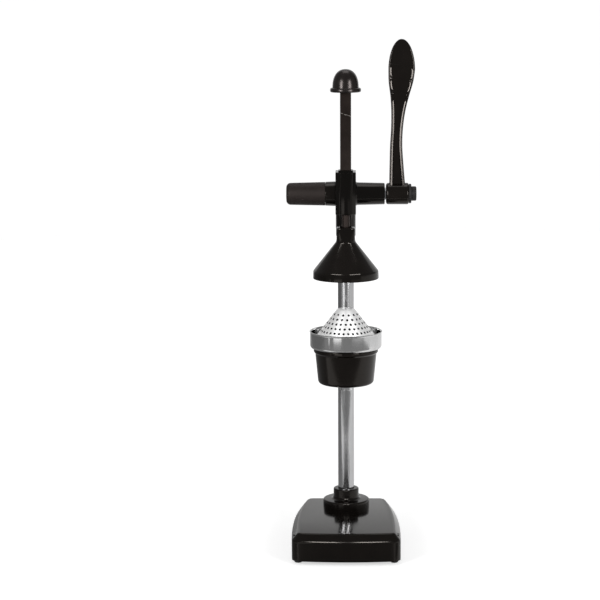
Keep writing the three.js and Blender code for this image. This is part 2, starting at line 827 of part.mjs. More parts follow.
// Knob, from its underside
function makeKnob() {
  const quarter = Math.PI / 2;
  const dome = Array.from({ length: curveSteps + 1 }, (_, i) => {
    const angle = (quarter * i) / curveSteps;
    const radius = (domeDiameter / 2) * Math.cos(angle) ** (2 / domePower);
    return [i < curveSteps ? radius : 0, knobFlange + domeHeight * Math.sin(angle) ** (2 / domePower)];
  });
  const body = turned(filleted([
    [0, 0],
    [knobDiameter / 2, 0, knobFlangeRound],
    [knobDiameter / 2, knobFlange, knobFlangeRound],
    ...dome,
  ]), { steps: barSteps });
  const socket = upright(squareShape(rackWidth + 2 * knobSideGap), -overrun, rackEnd + seatGap);
  return body.subtract(socket.add(
    straightHole(studDiameter, 'z', [0, 0, rackEnd], 0, studLength / 2 + seatGap),
  ));
}

// Head, from the press axis at the head's underside

function makeHead() {
  const half = headWidth / 2;
  const front = -rackWidth / 2 - slideGap - headFrontWall;
  const back = pinionBack + pinionBore / 2 + headBackWall;
  const plan = new THREE.Shape();
  plan.moveTo(-half, front + headBow);
  plan.quadraticCurveTo(0, front - headBow, half, front + headBow);
  plan.lineTo(half, back);
  plan.lineTo(-half, back);
  const side = new THREE.Shape(filleted([
    [front - overrun, 0],
    [back, 0, headCorner],
    [back, headHeight, headCorner],
    [front - overrun, headHeight],
  ], true));
  const body = upright(plan, 0, headHeight).intersect(leftToRight(side, -headWidth, headWidth));
  const lip = upright(
    squareShape(channelLipWidth, channelLipCorner),
    headHeight - overrun,
    headHeight + channelLipHeight,
  );
  const shaftPlace = [0, pinionBack, pinionRise];
  const tube = turned(filleted([
    [0, half - overrun],
    [tubeRootDiameter / 2, half - overrun],
    [tubeEndDiameter / 2, tubeEnd, tubeEndRound],
    [0, tubeEnd],
  ]), { axis: 'x', at: shaftPlace, steps: barSteps });
  const socketTop = headHeight - headSocketTop;
  const socketWidth = columnDiameter + 2 * headSocketWall;
  const columnPlace = [0, reach, 0];
  const socket = turned(
    bar(socketWidth, -headSocketDrop, socketTop),
    { at: columnPlace, steps: barSteps },
  );
  const web = leftToRight(new THREE.Shape(filleted([
    [back - webMargin, webMargin],
    [reach, -webDrop],
    [reach, socketTop - webMargin],
    [back - webMargin, socketTop - webMargin],
  ])), -webWidth / 2, webWidth / 2);
  const screwPlaces = [headScrewLow, headScrewHigh].map((height) => [0, reach, height]);
  const bossReach = socketWidth / 2 + screwBossRise;
  const bosses = screwPlaces.map((at) => turned(
    bar(screwBossDiameter, 0, bossReach),
    { axis: 'y', at, steps: screwSteps },
  ));
  const channel = squareShape(rackWidth + 2 * slideGap);
  const columnStop = socketTop - headSocketRoof;
  return joined([body, lip, tube, socket, web, ...bosses]).subtract(joined([
    upright(channel, -overrun, headHeight + channelLipHeight + overrun),
    turned(bar(pinionBore, -half - overrun, -plugEnd), { axis: 'x', at: shaftPlace, steps: barSteps }),
    turned(bar(tubeBore, 0, tubeEnd + overrun), { axis: 'x', at: shaftPlace, steps: barSteps }),
    straightHole(columnDiameter, 'z', columnPlace, -headSocketDrop - overrun, columnStop, barSteps),
    ...screwPlaces.map((at) => straightHole(setScrewDiameter, 'y', at, 0, bossReach + overrun)),
  ]));
}

// Collar, grip and bushes, along X from the press axis

function makeCollar() {
  const rodRadius = gripRodDiameter / 2 + runGap;
  const rodStop = nippleEnd + gripRodHold + seatGap;
  return turned(filleted([
    [rodRadius, nippleEnd],
    [nippleDiameter / 2, nippleEnd],
    [nippleDiameter / 2, collarOuter],
    [collarOuterDiameter / 2, collarOuter, collarRound],
    [collarInnerDiameter / 2, collarInner, collarRound],
    [pinionBore / 2 - runGap, collarInner],
    [pinionBore / 2 - runGap, plugEnd],
    [tubeBore / 2, plugEnd],
    [tubeBore / 2, shaftStart - seatGap],
    [0, shaftStart - seatGap],
    [0, rodStop],
    [rodRadius, rodStop],
  ]), { axis: 'x', steps: barSteps });
}

function makeBush(from, to) {
  const outline = ring(tubeBore - 2 * runGap, shaftDiameter + 2 * runGap, from, to);
  return turned(outline, { axis: 'x', steps: barSteps });
}

function makeGrip() {
  const nippleRadius = nippleDiameter / 2 + runGap;
  const rodRadius = gripRodDiameter / 2 + runGap;
  const rodEnd = gripMouth - gripRodReach - seatGap;
  return turned(filleted([
    [0, gripEnd],
    [gripOuterDiameter / 2, gripEnd, gripRound],
    [gripInnerDiameter / 2, gripMouth, collarRound],
    [nippleRadius, gripMouth],
    [nippleRadius, nippleEnd - seatGap],
    [rodRadius, nippleEnd - seatGap],
    [rodRadius, rodEnd],
    [0, rodEnd],
  ]), { axis: 'x', steps: barSteps });
}

function makeGripRod() {
  const outline = bar(gripRodDiameter, gripMouth - gripRodReach, nippleEnd + gripRodHold);
  return turned(outline, { axis: 'x', steps: screwSteps });
}

// Pinion shaft and lever, from the press axis on the shaft's axis

// The pinion's outline in Y and Z, with one involute tooth pointing at the rack.
function pinionShape() {
  const baseRadius = pitchRadius * Math.cos(pressureAngle);
  const rootRadius = pitchRadius - rackAddendum - rootClearance;
  const tipRadius = pitchRadius + pinionAddendum;
  const involute = (angle) => Math.tan(angle) - angle;
  const pitchHalf = (toothPitch - backlash) / (4 * pitchRadius);
  const halfAngle = (radius) => (
    pitchHalf + involute(pressureAngle) - involute(Math.acos(baseRadius / radius))
  );
  const flank = [[rootRadius, halfAngle(baseRadius)]];
  for (let i = 0; i <= flankSteps; i++) {
    const radius = baseRadius + ((tipRadius - baseRadius) * i) / flankSteps;
    flank.push([radius, halfAngle(radius)]);
  }
  const points = [];
  for (let tooth = 0; tooth < pinionTeeth; tooth++) {
    const middle = Math.PI + (2 * Math.PI * tooth) / pinionTeeth;
    const place = (radius, angle) => points.push(
      new THREE.Vector2(radius * Math.cos(angle), radius * Math.sin(angle)),
    );
    flank.forEach(([radius, half]) => place(radius, middle - half));
    flank.toReversed().forEach(([radius, half]) => place(radius, middle + half));
  }
  return new THREE.Shape(points);
}

function makePinionShaft() {
  const threadStop = leverNutStart + threadDiameter * nutHeightShare + threadEnd;
  const square = squareShape(shaftSquare);
  return joined([
    leftToRight(pinionShape(), -pinionLength / 2, pinionLength / 2),
    turned(bar(shaftDiameter, shaftStart, hubInner - seatGap), { axis: 'x', steps: barSteps }),
    leftToRight(square, hubInner - seatGap - overrun, counterboreFloor - seatGap),
    turned(bar(threadDiameter, hubInner, threadStop), { axis: 'x', steps: screwSteps }),
  ]);
}

// One long edge of the lever's front view, from the hub up to the rounded tip.
function leverEdge(side) {
  const armHeight = leverReach - paddleRound;
  const stations = leverShares.map(([height, width, shift]) => new THREE.Vector2(
    leverX + shift * paddleShift + (side * width * paddleWidth) / 2,
    height * armHeight,
  ));
  return new THREE.SplineCurve(stations).getPoints(2 * curveSteps);
}

function leverFrontShape() {
  const tip = [];
  for (let i = 1; i < 2 * curveSteps; i++) {
    const angle = (Math.PI * i) / (2 * curveSteps);
    const x = leverX + paddleShift + (paddleWidth / 2) * Math.cos(angle);
    tip.push(new THREE.Vector2(x, leverReach - paddleRound + paddleRound * Math.sin(angle)));
  }
  return new THREE.Shape([...leverEdge(1), ...tip, ...leverEdge(-1).reverse()]);
}

// The back edge of the lever's side view.
function leverBack() {
  const stations = leverThicknessShares.map(([height, thickness]) => new THREE.Vector2(
    (thickness * leverThickness) / 2,
    height * leverReach,
  ));
  return new THREE.SplineCurve(stations).getPoints(2 * curveSteps);
}

function leverSideShape() {
  const back = leverBack();
  return new THREE.Shape([...back, ...back.map(({ x, y }) => new THREE.Vector2(-x, y)).reverse()]);
}

// The outline inside the rim, between two heights.
function panelShape(bottom, top, corner) {
  const inside = (edge, inset) => offset(edge, inset).filter(({ y }) => y > bottom && y < top);
  const rounded = (points) => points.map(({ x, y }, i) => (
    i === 0 || i === points.length - 1 ? [x, y, corner] : [x, y]
  ));
  const right = rounded(inside(leverEdge(1), -leverRim));
  const left = rounded(inside(leverEdge(-1), leverRim));
  return new THREE.Shape(filleted([...right, ...left.reverse()], true));
}

// Where a line of points that climbs in Y crosses a height.
function crossing(points, height) {
  const i = points.findIndex(({ y }) => y >= height);
  const [low, high] = points.slice(i - 1, i + 1);
  return low.x + ((high.x - low.x) * (height - low.y)) / (high.y - low.y);
}

// A shallow finger groove across the front of the paddle, which fades out at both ends.
function makeGroove(height) {
  const edgeHeight = Math.min(height, leverReach - paddleRound);
  const left = crossing(leverEdge(-1), edgeHeight) + leverRim;
  const right = crossing(leverEdge(1), edgeHeight) - leverRim;
  const half = (right - left) / 2;
  const shallow = grooveRadius - grooveDepth;
  const groove = turning([
    [0, -half],
    [shallow, -half],
    [grooveRadius, grooveFade - half],
    [grooveRadius, half - grooveFade],
    [shallow, half],
    [0, half],
  ], 'x', screwSteps);
  const front = crossing(leverBack(), height) + shallow;
  return solidOf(groove.rotateY(grooveLean).translate(left + half, -front, height));
}

function makeLever() {
  const arm = frontToBack(leverFrontShape(), -leverThickness, leverThickness)
    .intersect(leftToRight(leverSideShape(), hubInner - hubLength, hubOuter + hubLength));
  const hub = turned(filleted([
    [0, hubInner],
    [hubDiameter / 2, hubInner, hubInnerRound],
    [hubDiameter / 2, hubOuter, hubOuterRound],
    [0, hubOuter],
  ]), { axis: 'x', steps: barSteps });
  const panel = panelShape(hubDiameter / 2 + panelStart, leverReach * panelEndShare, panelRound);
  const web = block(
    [hubInner - hubLength, -leverWeb / 2, 0],
    [hubOuter + hubLength, leverWeb / 2, leverReach],
  );
  const grooves = Array.from(
    { length: grooveCount },
    (_, i) => makeGroove(leverReach * firstGrooveShare + i * groovePitch),
  );
  return arm.add(hub).subtract(joined([
    frontToBack(panel, -leverThickness, leverThickness).subtract(web),
    ...grooves,
    leftToRight(squareShape(shaftSquare + 2 * runGap), hubInner - overrun, hubOuter + overrun),
    turned(bar(hubCounterbore, counterboreFloor, hubOuter + overrun), { axis: 'x', steps: barSteps }),
  ]));
}

function makeEndCap() {
  const plugRadius = hubCounterbore / 2 - runGap;
  const hollowRadius = capNoseDiameter / 2 - capWall;
  const seat = hubOuter + seatGap;
  return turned(filleted([
    [hollowRadius, hubOuter - capPlug],
    [plugRadius, hubOuter - capPlug],
    [plugRadius, seat],
    [capFlangeDiameter / 2, seat],
    [capFlangeDiameter / 2, seat + capFlange, capFlange / 3],
    [capNoseDiameter / 2, seat + capFlange],
    [capNoseDiameter / 2, capEnd, capNoseRound],
    [0, capEnd],
    [0, capEnd - capWall],
    [hollowRadius, capEnd - capWall],
  ]), { axis: 'x', steps: barSteps });
}

// Assembly

const press = new THREE.Group();
const middleX = (capEnd + gripEnd) / 2;
const middleY = (baseBackReach - baseFrontReach - baseFrontBow) / 2;
press.position.set(-middleX, -middleY, 0);

function groupAt(x, y, z) {
  const group = new THREE.Group();
  group.position.set(x, y, z);
  press.add(group);
  return group;
}

function add(group, name, solid, finish, at = [0, 0, 0], turn = [0, 0, 0]) {
  const mesh = new THREE.Mesh(geometryOf(solid), new THREE.MeshStandardMaterial(finish));
  mesh.name = name;
  mesh.position.set(...at);
  mesh.rotation.set(...turn);
  group.add(mesh);
}

const upIsRight = [0, Math.PI / 2, 0];
const upIsBack = [-Math.PI / 2, 0, 0];
const screwPoint = columnDiameter / 2 + seatGap;

// Stand
const stand = groupAt(0, 0, 0);
const hubUnderside = baseTop - socketDrop;
const columnFoot = hubUnderside + socketFloor + seatGap;
const washerSeat = hubUnderside - seatGap - washerThickness;
const baseBolt = makeHexBolt(baseBoltDiameter, baseBoltLength);
add(stand, 'base', makeBase(), blackEnamel);
footPlaces().forEach(([name, x, y]) => add(stand, name, makeFoot(), rubber, [x, y, 0]));
add(stand, 'column', makeColumn(), chrome, [0, 0, columnFoot]);
add(stand, 'column_plug', makeColumnPlug(), zincSteel, [0, 0, columnFoot]);
add(stand, 'base_washer', makeWasher(baseBoltDiameter), zincSteel, [0, 0, washerSeat]);
add(stand, 'base_bolt', baseBolt, zincSteel, [0, 0, washerSeat - seatGap]);
add(stand, 'base_set_screw', makeSetScrew(), zincSteel, [0, screwPoint, baseTop + baseScrewRise], upIsBack);

// Bowl holder with what it carries
const cradle = groupAt(0, -reach, holderBottom);
const earHalf = clampEarWidth / 2 + seatGap;
const boltBack = reach + clampBoltBack;
const boltRise = clampRise + clampHeight / 2;
const clampBolt = makeHexBolt(clampBoltDiameter, clampBoltLength);
add(cradle, 'holder', makeHolder(), blackEnamel);
add(cradle, 'holder_bolt', clampBolt, zincSteel, [-earHalf, boltBack, boltRise], upIsRight);
add(cradle, 'holder_nut', makeNut(clampBoltDiameter), zincSteel, [earHalf, boltBack, boltRise], upIsRight);
add(cradle, 'juice_bowl', makeJuiceBowl(), stainless);
add(cradle, 'strainer', makeStrainer(), stainless);

// Head
const head = groupAt(0, -reach, headBottom);
const shaftPlace = [0, pinionBack, pinionRise];
const headScrew = makeSetScrew();
const tubeBushEnd = tubeEnd - seatGap;
const collarBushEnd = plugEnd - seatGap;
add(head, 'head_housing', makeHead(), blackEnamel);
add(head, 'head_set_screw_lower', headScrew, zincSteel, [0, reach + screwPoint, headScrewLow], upIsBack);
add(head, 'head_set_screw_upper', headScrew, zincSteel, [0, reach + screwPoint, headScrewHigh], upIsBack);
add(head, 'tube_bush', makeBush(tubeBushEnd - tubeBushLength, tubeBushEnd), bronze, shaftPlace);
add(head, 'collar_bush', makeBush(collarBushEnd - collarBushLength, collarBushEnd), bronze, shaftPlace);
add(head, 'collar', makeCollar(), blackEnamel, shaftPlace);
add(head, 'grip', makeGrip(), gripPlastic, shaftPlace);
add(head, 'grip_rod', makeGripRod(), zincSteel, shaftPlace);

// Ram, with the bell up
const ram = groupAt(0, -reach, bellRim);
const stud = turned(bar(studDiameter, -studLength / 2, studLength / 2), { steps: screwSteps });
const bellScrew = makeButtonScrew(bellScrewDiameter, bellScrewLength);
add(ram, 'bell', makeBell(), blackEnamel);
add(ram, 'bell_washer', makeWasher(bellScrewDiameter), zincSteel, [0, 0, bellScrewSeat + seatGap]);
add(ram, 'bell_screw', bellScrew, zincSteel, [0, 0, bellScrewSeat]);
add(ram, 'rack', makeRack(), rackSteel);
add(ram, 'knob_stud', stud, zincSteel, [0, 0, knobRise + rackEnd]);
add(ram, 'knob', makeKnob(), blackPlastic, [0, 0, knobRise]);

// Shaft and lever, with the lever up
const swing = groupAt(0, pinionBack - reach, headBottom + pinionRise);
add(swing, 'pinion_shaft', makePinionShaft(), zincSteel);
add(swing, 'lever', makeLever(), blackEnamel);
const leverWasherPlace = [counterboreFloor + seatGap, 0, 0];
const leverNutPlace = [leverNutStart, 0, 0];
add(swing, 'lever_washer', makeWasher(threadDiameter), zincSteel, leverWasherPlace, upIsRight);
add(swing, 'lever_nut', makeNut(threadDiameter), zincSteel, leverNutPlace, upIsRight);
add(swing, 'end_cap', makeEndCap(), greyPlastic);

export default press;
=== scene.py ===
import json
import math

import bmesh
import bpy
from mathutils import Matrix, Vector


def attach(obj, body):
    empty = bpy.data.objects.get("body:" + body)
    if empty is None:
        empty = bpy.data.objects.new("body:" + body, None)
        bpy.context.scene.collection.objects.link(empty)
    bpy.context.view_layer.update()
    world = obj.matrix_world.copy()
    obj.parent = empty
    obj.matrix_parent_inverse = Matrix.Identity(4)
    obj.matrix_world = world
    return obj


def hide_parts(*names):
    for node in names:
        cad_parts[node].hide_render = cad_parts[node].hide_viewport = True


bl_info = {
    "name": "Lever citrus press",
    "version": (1, 0, 0),
    "blender": (4, 5, 0),
    "location": "View3D > Sidebar > Citrus press",
    "description": "Builds the finished pieces and materials of a lever citrus press",
    "category": "Object",
}

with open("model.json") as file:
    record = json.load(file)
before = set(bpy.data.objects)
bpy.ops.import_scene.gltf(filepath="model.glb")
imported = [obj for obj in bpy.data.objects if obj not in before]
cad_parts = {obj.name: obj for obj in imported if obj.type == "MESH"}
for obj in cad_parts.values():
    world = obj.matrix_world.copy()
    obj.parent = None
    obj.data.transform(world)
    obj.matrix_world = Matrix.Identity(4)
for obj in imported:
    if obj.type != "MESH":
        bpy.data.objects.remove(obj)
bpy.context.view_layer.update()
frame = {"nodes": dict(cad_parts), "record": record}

# Lengths below are in millimetres, and MM turns them into metres.
MM = 0.001
GAP = 0.3  # between faces that rest on each other
RUN_GAP = 0.15  # round a shaft, a tube or a screw in its bore
OVERRUN = 1.0  # how far a cutting shape passes the face that it cuts
SINK = 2.0  # how far a joined shape reaches into its neighbour
ROUND = 96  # steps of a full turn
SMALL_ROUND = 48
BORE_ROUND = 24
SCREW_BORE = 6.3  # for every screw, bolt and stud but the base's bolt

# Places of the main axes
PRESS_AXIS = Vector((-6.45, -8.25, 0))
REACH = 55.0
COLUMN_AXIS = PRESS_AXIS + Vector((0, REACH, 0))
BASE_TOP = 37.0
HOLDER_FOOT = PRESS_AXIS + Vector((0, 0, 197.4))
BELL_RIM = PRESS_AXIS + Vector((0, 0, 320.3))
HEAD_FOOT = PRESS_AXIS + Vector((0, 0, 394.0))
SHAFT_BACK = 16.95
SHAFT_RISE = 22.0
SHAFT_AXIS = HEAD_FOOT + Vector((0, SHAFT_BACK, SHAFT_RISE))
KNOB_FOOT = BELL_RIM + Vector((0, 0, 213.0))

# Column
COLUMN_DIAMETER = 19.0
COLUMN_WALL = 1.3
COLUMN_FOOT = 17.3
COLUMN_TOP = 433.2

# Base, round the column's axis
SKIRT_FOOT = 5.5
SHOULDER = 28.4
SHOULDER_RUN = 7.0
BASE_FRONT = 129.0
BASE_BACK = 40.5
BASE_FRONT_WIDTH = 123.8
BASE_BACK_WIDTH = 101.0
BASE_BOW = 5.0
BASE_BULGE = 4.6
BASE_BULGE_SHARE = 0.36
BASE_FRONT_CORNER = 10.0
BASE_BACK_CORNER = 13.0
BASE_EDGE = 1.6
BASE_WALL = 3.6
BASE_RIB = 2.6
BASE_RIB_FOOT = 21.4
BASE_RIB_TOP = 33.9
# Share of the base's depth from its back, and half the length
CROSS_RIBS = ((0.4, 54.0), (0.62, 55.5), (0.84, 55.5))
LONG_RIB_FRONT = 8.0  # from the base's front
LONG_RIB_BACK = 7.0
PAD_DIAMETER = 55.0
PAD_TOP = 46.0
SOCKET_DIAMETER = 30.0
SOCKET_TOP = 59.0
SOCKET_FOOT = 12.0
SOCKET_FLOOR = 17.0
BASE_BOLT_BORE = 8.3
BASE_SCREW_RISE = 52.0

# Feet
FOOT_PLACES = {
    "foot_front_left": (-54.9, -113.0),
    "foot_front_right": (54.9, -113.0),
    "foot_back_left": (-43.5, 26.5),
    "foot_back_right": (43.5, 26.5),
}
FOOT_DIAMETER = 9.4
FOOT_STEM_DIAMETER = 5.0
FOOT_TOP = 13.5
FOOT_BOSS_DIAMETER = 12.0

# Bowl holder, from its underside on the press axis
HOLDER_HEIGHT = 41.7
HOLDER_LIP_DIAMETER = 74.6
HOLDER_LIP_FOOT = 37.7
HOLDER_STEP = 1.8
HOLDER_FOOT_DIAMETER = 64.0
HOLDER_WALL = 3.2
HOLDER_FLOOR = 3.8
SPOUT_HOLE = 19.0
ARM_WIDTH = 24.0
ARM_START = 10.0
CLAMP_DIAMETER = 30.0
CLAMP_FOOT = 6.5
CLAMP_TOP = 34.5
CLAMP_SLOT = 2.4
CLAMP_EAR_START = 8.0
CLAMP_EAR_REACH = 28.0
CLAMP_EAR_WIDTH = 21.0
CLAMP_BOLT_BACK = 21.0

# Juice bowl and strainer, from the holder's underside
SHEET = 0.9
RING_DIAMETER = 82.6
SHELF = 42.0
RIM = 62.0
RING_LIP = 1.0
SPOUT_DIAMETER = 13.8
SPOUT_DROP = 8.0
FUNNEL_DIAMETER = 63.0
BOWL_FLOOR_DIAMETER = 54.0
BOWL_FLOOR_RISE = 6.5
FUNNEL_FALL = 3.5
FUNNEL_TOP = 33.9
STRAINER_TOP_DIAMETER = 19.2
STRAINER_DIAMETER = 68.4
STRAINER_TOP = 87.5
STRAINER_DEPTH = 6.6
STRAINER_FLANGE = 3.0
FIRST_ROW_DIAMETER = 28.1
FIRST_ROW_HOLES = 14
EXTRA_HOLES = 5
HOLE_ROW_PITCH = 6.05
HOLE_STEPS = 14

# Pressing bell, from its rim
BELL_DIAMETER = 75.9
BELL_BAND = 9.0
BELL_TAPER = 0.45
BELL_HEIGHT = 42.2
BELL_WALL = 3.0
BELL_APEX = 38.2
NECK_WIDTH = 21.4
NECK_FLARE = 1.6
NECK_FLARE_DROP = 1.2
BELL_TOP = 73.4
SHANK_BORE = 9.3
SHANK_DEPTH = 22.3
# From the cone's top the skin goes up as a rounded square: height, half width, squareness
NECK_RINGS = (
    (42.0, 11.6, 2.3), (43.2, 11.1, 2.8), (45.0, 10.8, 3.6), (47.5, 10.7, 4.6),
    (51.0, 10.7, 5.4), (55.0, 10.7, 5.6), (57.2, 10.65, 5.6), (58.3, 10.4, 5.4),
    (58.8, 10.0, 5.2), (59.0, 9.4, 5.0), (59.0, 7.6, 5.5), (59.4, 7.0, 9.0),
    (60.2, 6.85, 9.0), (72.8, 6.85, 9.0), (73.2, 6.75, 9.0), (73.4, 6.4, 9.0),
)

# Knob
KNOB_DIAMETER = 35.1
KNOB_FLANGE = 5.0
DOME_DIAMETER = 29.8
DOME_HEIGHT = 21.0
DOME_POWER = 2.3  # 2 would be an ellipse, and more is fuller
RACK_WIDTH = 12.5
RACK_IN_KNOB = 6.3
STUD_TOP = 16.3

# Head, from its underside on the press axis
HEAD_WIDTH = 23.4
HEAD_HEIGHT = 48.5
HEAD_FRONT = -9.65
HEAD_BACK = 34.95
HEAD_BOW = 5.0
HEAD_CORNER = 10.0
LIP_WIDTH = 17.2
LIP_HEIGHT = 2.6
CHANNEL_WIDTH = 12.9
HEAD_SOCKET_DIAMETER = 23.2
HEAD_SOCKET_DROP = 31.7
HEAD_SOCKET_TOP = 44.5
COLUMN_STOP = 39.5
WEB_WIDTH = 15.0
WEB_MARGIN = 4.0
WEB_DROP = 22.0
TUBE_ROOT_DIAMETER = 26.1
TUBE_ROOT_STEP = 1.2
TUBE_DIAMETER = 24.6
TUBE_END = 44.8
TUBE_BORE = 19.0
PINION_BORE = 28.0
PINION_BORE_END = 8.2
HEAD_SCREWS = (-19.0, 11.0)
SCREW_BOSS_DIAMETER = 12.0
SCREW_BOSS_REACH = 15.0

# Collar and grip, along X from the press axis
PLUG_DIAMETER = 27.7
PLUG_END = -8.2
COLLAR_INNER = -12.0
COLLAR_OUTER = -23.4
COLLAR_INNER_DIAMETER = 28.4
COLLAR_OUTER_DIAMETER = 27.4
SHAFT_START = -20.5
NIPPLE_DIAMETER = 19.2
NIPPLE_END = -36.4
GRIP_MOUTH = -23.6
GRIP_END = -68.3
GRIP_INNER_DIAMETER = 27.0
GRIP_OUTER_DIAMETER = 25.0
GRIP_ROUND = 5.0
ROD_DIAMETER = 8.0
ROD_END = -60.8
ROD_DEPTH = 9.3  # in the collar's nipple

# Lever, from the shaft's axis
HUB_INNER = 46.2
HUB_OUTER = 72.4
HUB_DIAMETER = 24.7
LEVER_X = 59.55
COUNTERBORE_FLOOR = 60.9
COUNTERBORE = 17.8
SQUARE_BORE = 10.3
LEVER_REACH = 176.4
PADDLE_WIDTH = 30.3
PADDLE_SHIFT = 4.4
PADDLE_ROUND = 35.0
LEVER_THICKNESS = 14.0
LEVER_RIM = 2.1
LEVER_ROUND = 1.9
LEVER_ROUND_STEPS = 6
LEVER_LIP = 0.32
# Past the rim: distance, share of the lip's depth and share of the sunk panel's depth
LEVER_LIP_SHARES = ((0.9, 1.0, 0.0), (1.05, 1.15, 0.2), (1.25, 1.0, 0.85), (1.6, 1.0, 1.0))
LEVER_FLOOR_STEPS = 9
LEVER_ROWS = 240
LEVER_ROW_POWER = 1.35  # above 1, the rows lie closer towards the tip
LEVER_TIP = 3.0  # half width below which the thickness fades
LEVER_TIP_THICKNESS = 0.05
LEVER_LEAST_DROP = 0.6  # of the sunk panel below the rim
LEVER_FULL = 4.9  # half width from which the profile has its full size
FIRST_GROOVE = 115.8
GROOVES = 3
GROOVE_LEAN = 8  # degrees
GROOVE_WIDTH = 1.5
GROOVE_FADE = (0.6, 1.8)  # past the rim
PAD_GAP = 2.6  # width of the gaps between the pads, at a groove's ends
PAD_INSET = 1.3
PADS_FROM = (-4.0, 1.0)  # round the first groove
PADS_TO = (-2.0, 3.0)  # round the last one
LEVER_WEB = 7.6
PANEL_TOP = 111.1
PANEL_FADE = (-6.0, 1.0)
LEVER_FOOT = 9.2
# Height along the straight arm, width against the paddle's, and shift against the paddle's
LEVER_SHARES = (
    (0.07, 0.6, -0.1),
    (0.23, 0.525, -0.28),
    (0.39, 0.46, -0.38),
    (0.53, 0.445, -0.18),
    (0.67, 0.53, 0.14),
    (0.79, 0.7, 0.5),
    (0.905, 0.92, 0.8),
    (1.0, 1.0, 1.0),
)
# Height against the lever's reach, and thickness against its greatest
THICKNESS_SHARES = (
    (0.05, 1.0),
    (0.3, 0.84),
    (0.55, 0.76),
    (0.72, 0.86),
    (0.86, 0.84),
    (0.95, 0.64),
    (1.01, 0.3),
)

# End cap
CAP_FLANGE_DIAMETER = 22.3
CAP_NOSE_DIAMETER = 16.6
CAP_FLANGE = 2.6
CAP_END = 81.2
CAP_WALL = 1.4
CAP_PLUG = 2.4


def length_property(name, description, default, low, high):
    return bpy.props.FloatProperty(name=name, description=description, default=default * MM,
                                   min=low * MM, max=high * MM, unit="LENGTH")


def power_property(name, description, default):
    return bpy.props.FloatProperty(name=name, description=f"Power of {description}, in watts",
                                   default=default, min=0, max=500)


def colour_property(name, description, default):
    return bpy.props.FloatVectorProperty(
        name=name, description=description, default=default, min=0, max=1, subtype="COLOR")


class PressSizes(bpy.types.PropertyGroup):
    """Sizes of the details that only the finished model has"""

    hole_diameter: length_property(
        "Strainer hole", "Diameter of each hole in the strainer", 2.8, 0.5, 3.5)
    hole_rows: bpy.props.IntProperty(
        name="Hole rows", description="Rows of holes round the strainer", default=5, min=1, max=6)
    groove_depth: length_property(
        "Groove depth", "Depth of the finger grooves on the lever's paddle", 0.9, 0.2, 2)
    groove_pitch: length_property("Groove pitch", "Distance between the grooves", 15, 8, 20)


class PressColours(bpy.types.PropertyGroup):
    """Colours of the finishes"""

    enamel: colour_property("Enamel", "Glossy paint of the castings", (0.0030, 0.0023, 0.0019))
    grip: colour_property("Grip", "Matt plastic of the steadying grip", (0.0095, 0.0075, 0.0069))
    knob: colour_property("Knob", "Moulded plastic of the stop knob", (0.0050, 0.0040, 0.0037))
    cap: colour_property("Cap", "Moulded plastic of the lever's end cap", (0.018, 0.0165, 0.0165))
    rack: colour_property("Rack", "Blackened steel of the rack", (0.0062, 0.0043, 0.0035))
    rack_low: colour_property("Rack low", "Browner steel of the rack's lower part",
                              (0.0152, 0.0115, 0.0101))
    chrome: colour_property("Chrome", "Plating of the column", (0.53, 0.53, 0.535))
    stainless: colour_property("Stainless", "Polished sheet metal of the bowl", (0.68, 0.68, 0.68))
    satin: colour_property("Satin stainless", "Sheet metal of the strainer", (0.95, 0.95, 0.95))
    # Painted shade: near-black stainless on the strainer's hole walls and underside, so that the
    # holes read dark
    dull: colour_property("Dull stainless", "Near-black stainless, painted shade on the hole walls and under the strainer",
                          (0.02375, 0.02375, 0.02375))
    zinc: colour_property("Zinc", "Plated screws, nuts and shaft", (0.52, 0.53, 0.54))
    bronze: colour_property("Bronze", "Plain bearings of the shaft", (0.48, 0.30, 0.13))
    rubber: colour_property("Rubber", "Feet", (0.012, 0.012, 0.012))


class StudioSettings(bpy.types.PropertyGroup):
    """Camera, lamps and background"""

    focal_length: bpy.props.FloatProperty(
        name="Focal length", description="Focal length of the lens, in millimetres",
        default=120, min=35, max=300)
    side_power: power_property("Side lamps", "each tall side lamp", 15.5)
    lever_power: power_property("Lever lamps", "each narrow lamp for the lever", 20)
    high_power: power_property("High lamps", "each wide lamp for bell and strainer", 25)
    base_power: power_property("Base lamps", "each lamp for the base's front edge", 5)
    top_power: power_property("Top lamp", "the lamp overhead", 4)
    room_light: bpy.props.FloatProperty(
        name="Room light", description="Strength of the light from the room",
        default=0.25, min=0, max=2)


# Mesh helpers


def move(bm, *vec):
    bmesh.ops.translate(bm, verts=bm.verts, vec=vec)


def turn(bm, degrees, axis):
    bmesh.ops.rotate(bm, verts=bm.verts, cent=(0, 0, 0),
                     matrix=Matrix.Rotation(math.radians(degrees), 3, axis))


def face_outwards(bm):
    bmesh.ops.recalc_face_normals(bm, faces=bm.faces)


def verts_of(made):
    return [item for item in made["geom"] if isinstance(item, bmesh.types.BMVert)]


def outline(corners, closed=False):
    """A line through corners (radius, height) or (radius, height, round) in the XZ plane."""
    bm = bmesh.new()
    verts = [bm.verts.new((corner[0], 0, corner[1])) for corner in corners]
    ends = verts[1:] + verts[:1] if closed else verts[1:]
    for start, end in zip(verts, ends):
        bm.edges.new((start, end))
    for i, corner in enumerate(corners):
        if len(corner) == 3:
            here = Vector(corner[:2])
            back = Vector(corners[i - 1][:2]) - here
            ahead = Vector(corners[(i + 1) % len(corners)][:2]) - here
            trim = corner[2] / math.tan(back.angle(ahead) / 2)
            bmesh.ops.bevel(bm, geom=[verts[i]], offset=trim, offset_type="OFFSET", segments=6,
                            profile=0.5, affect="VERTICES", material=-1)
    return bm


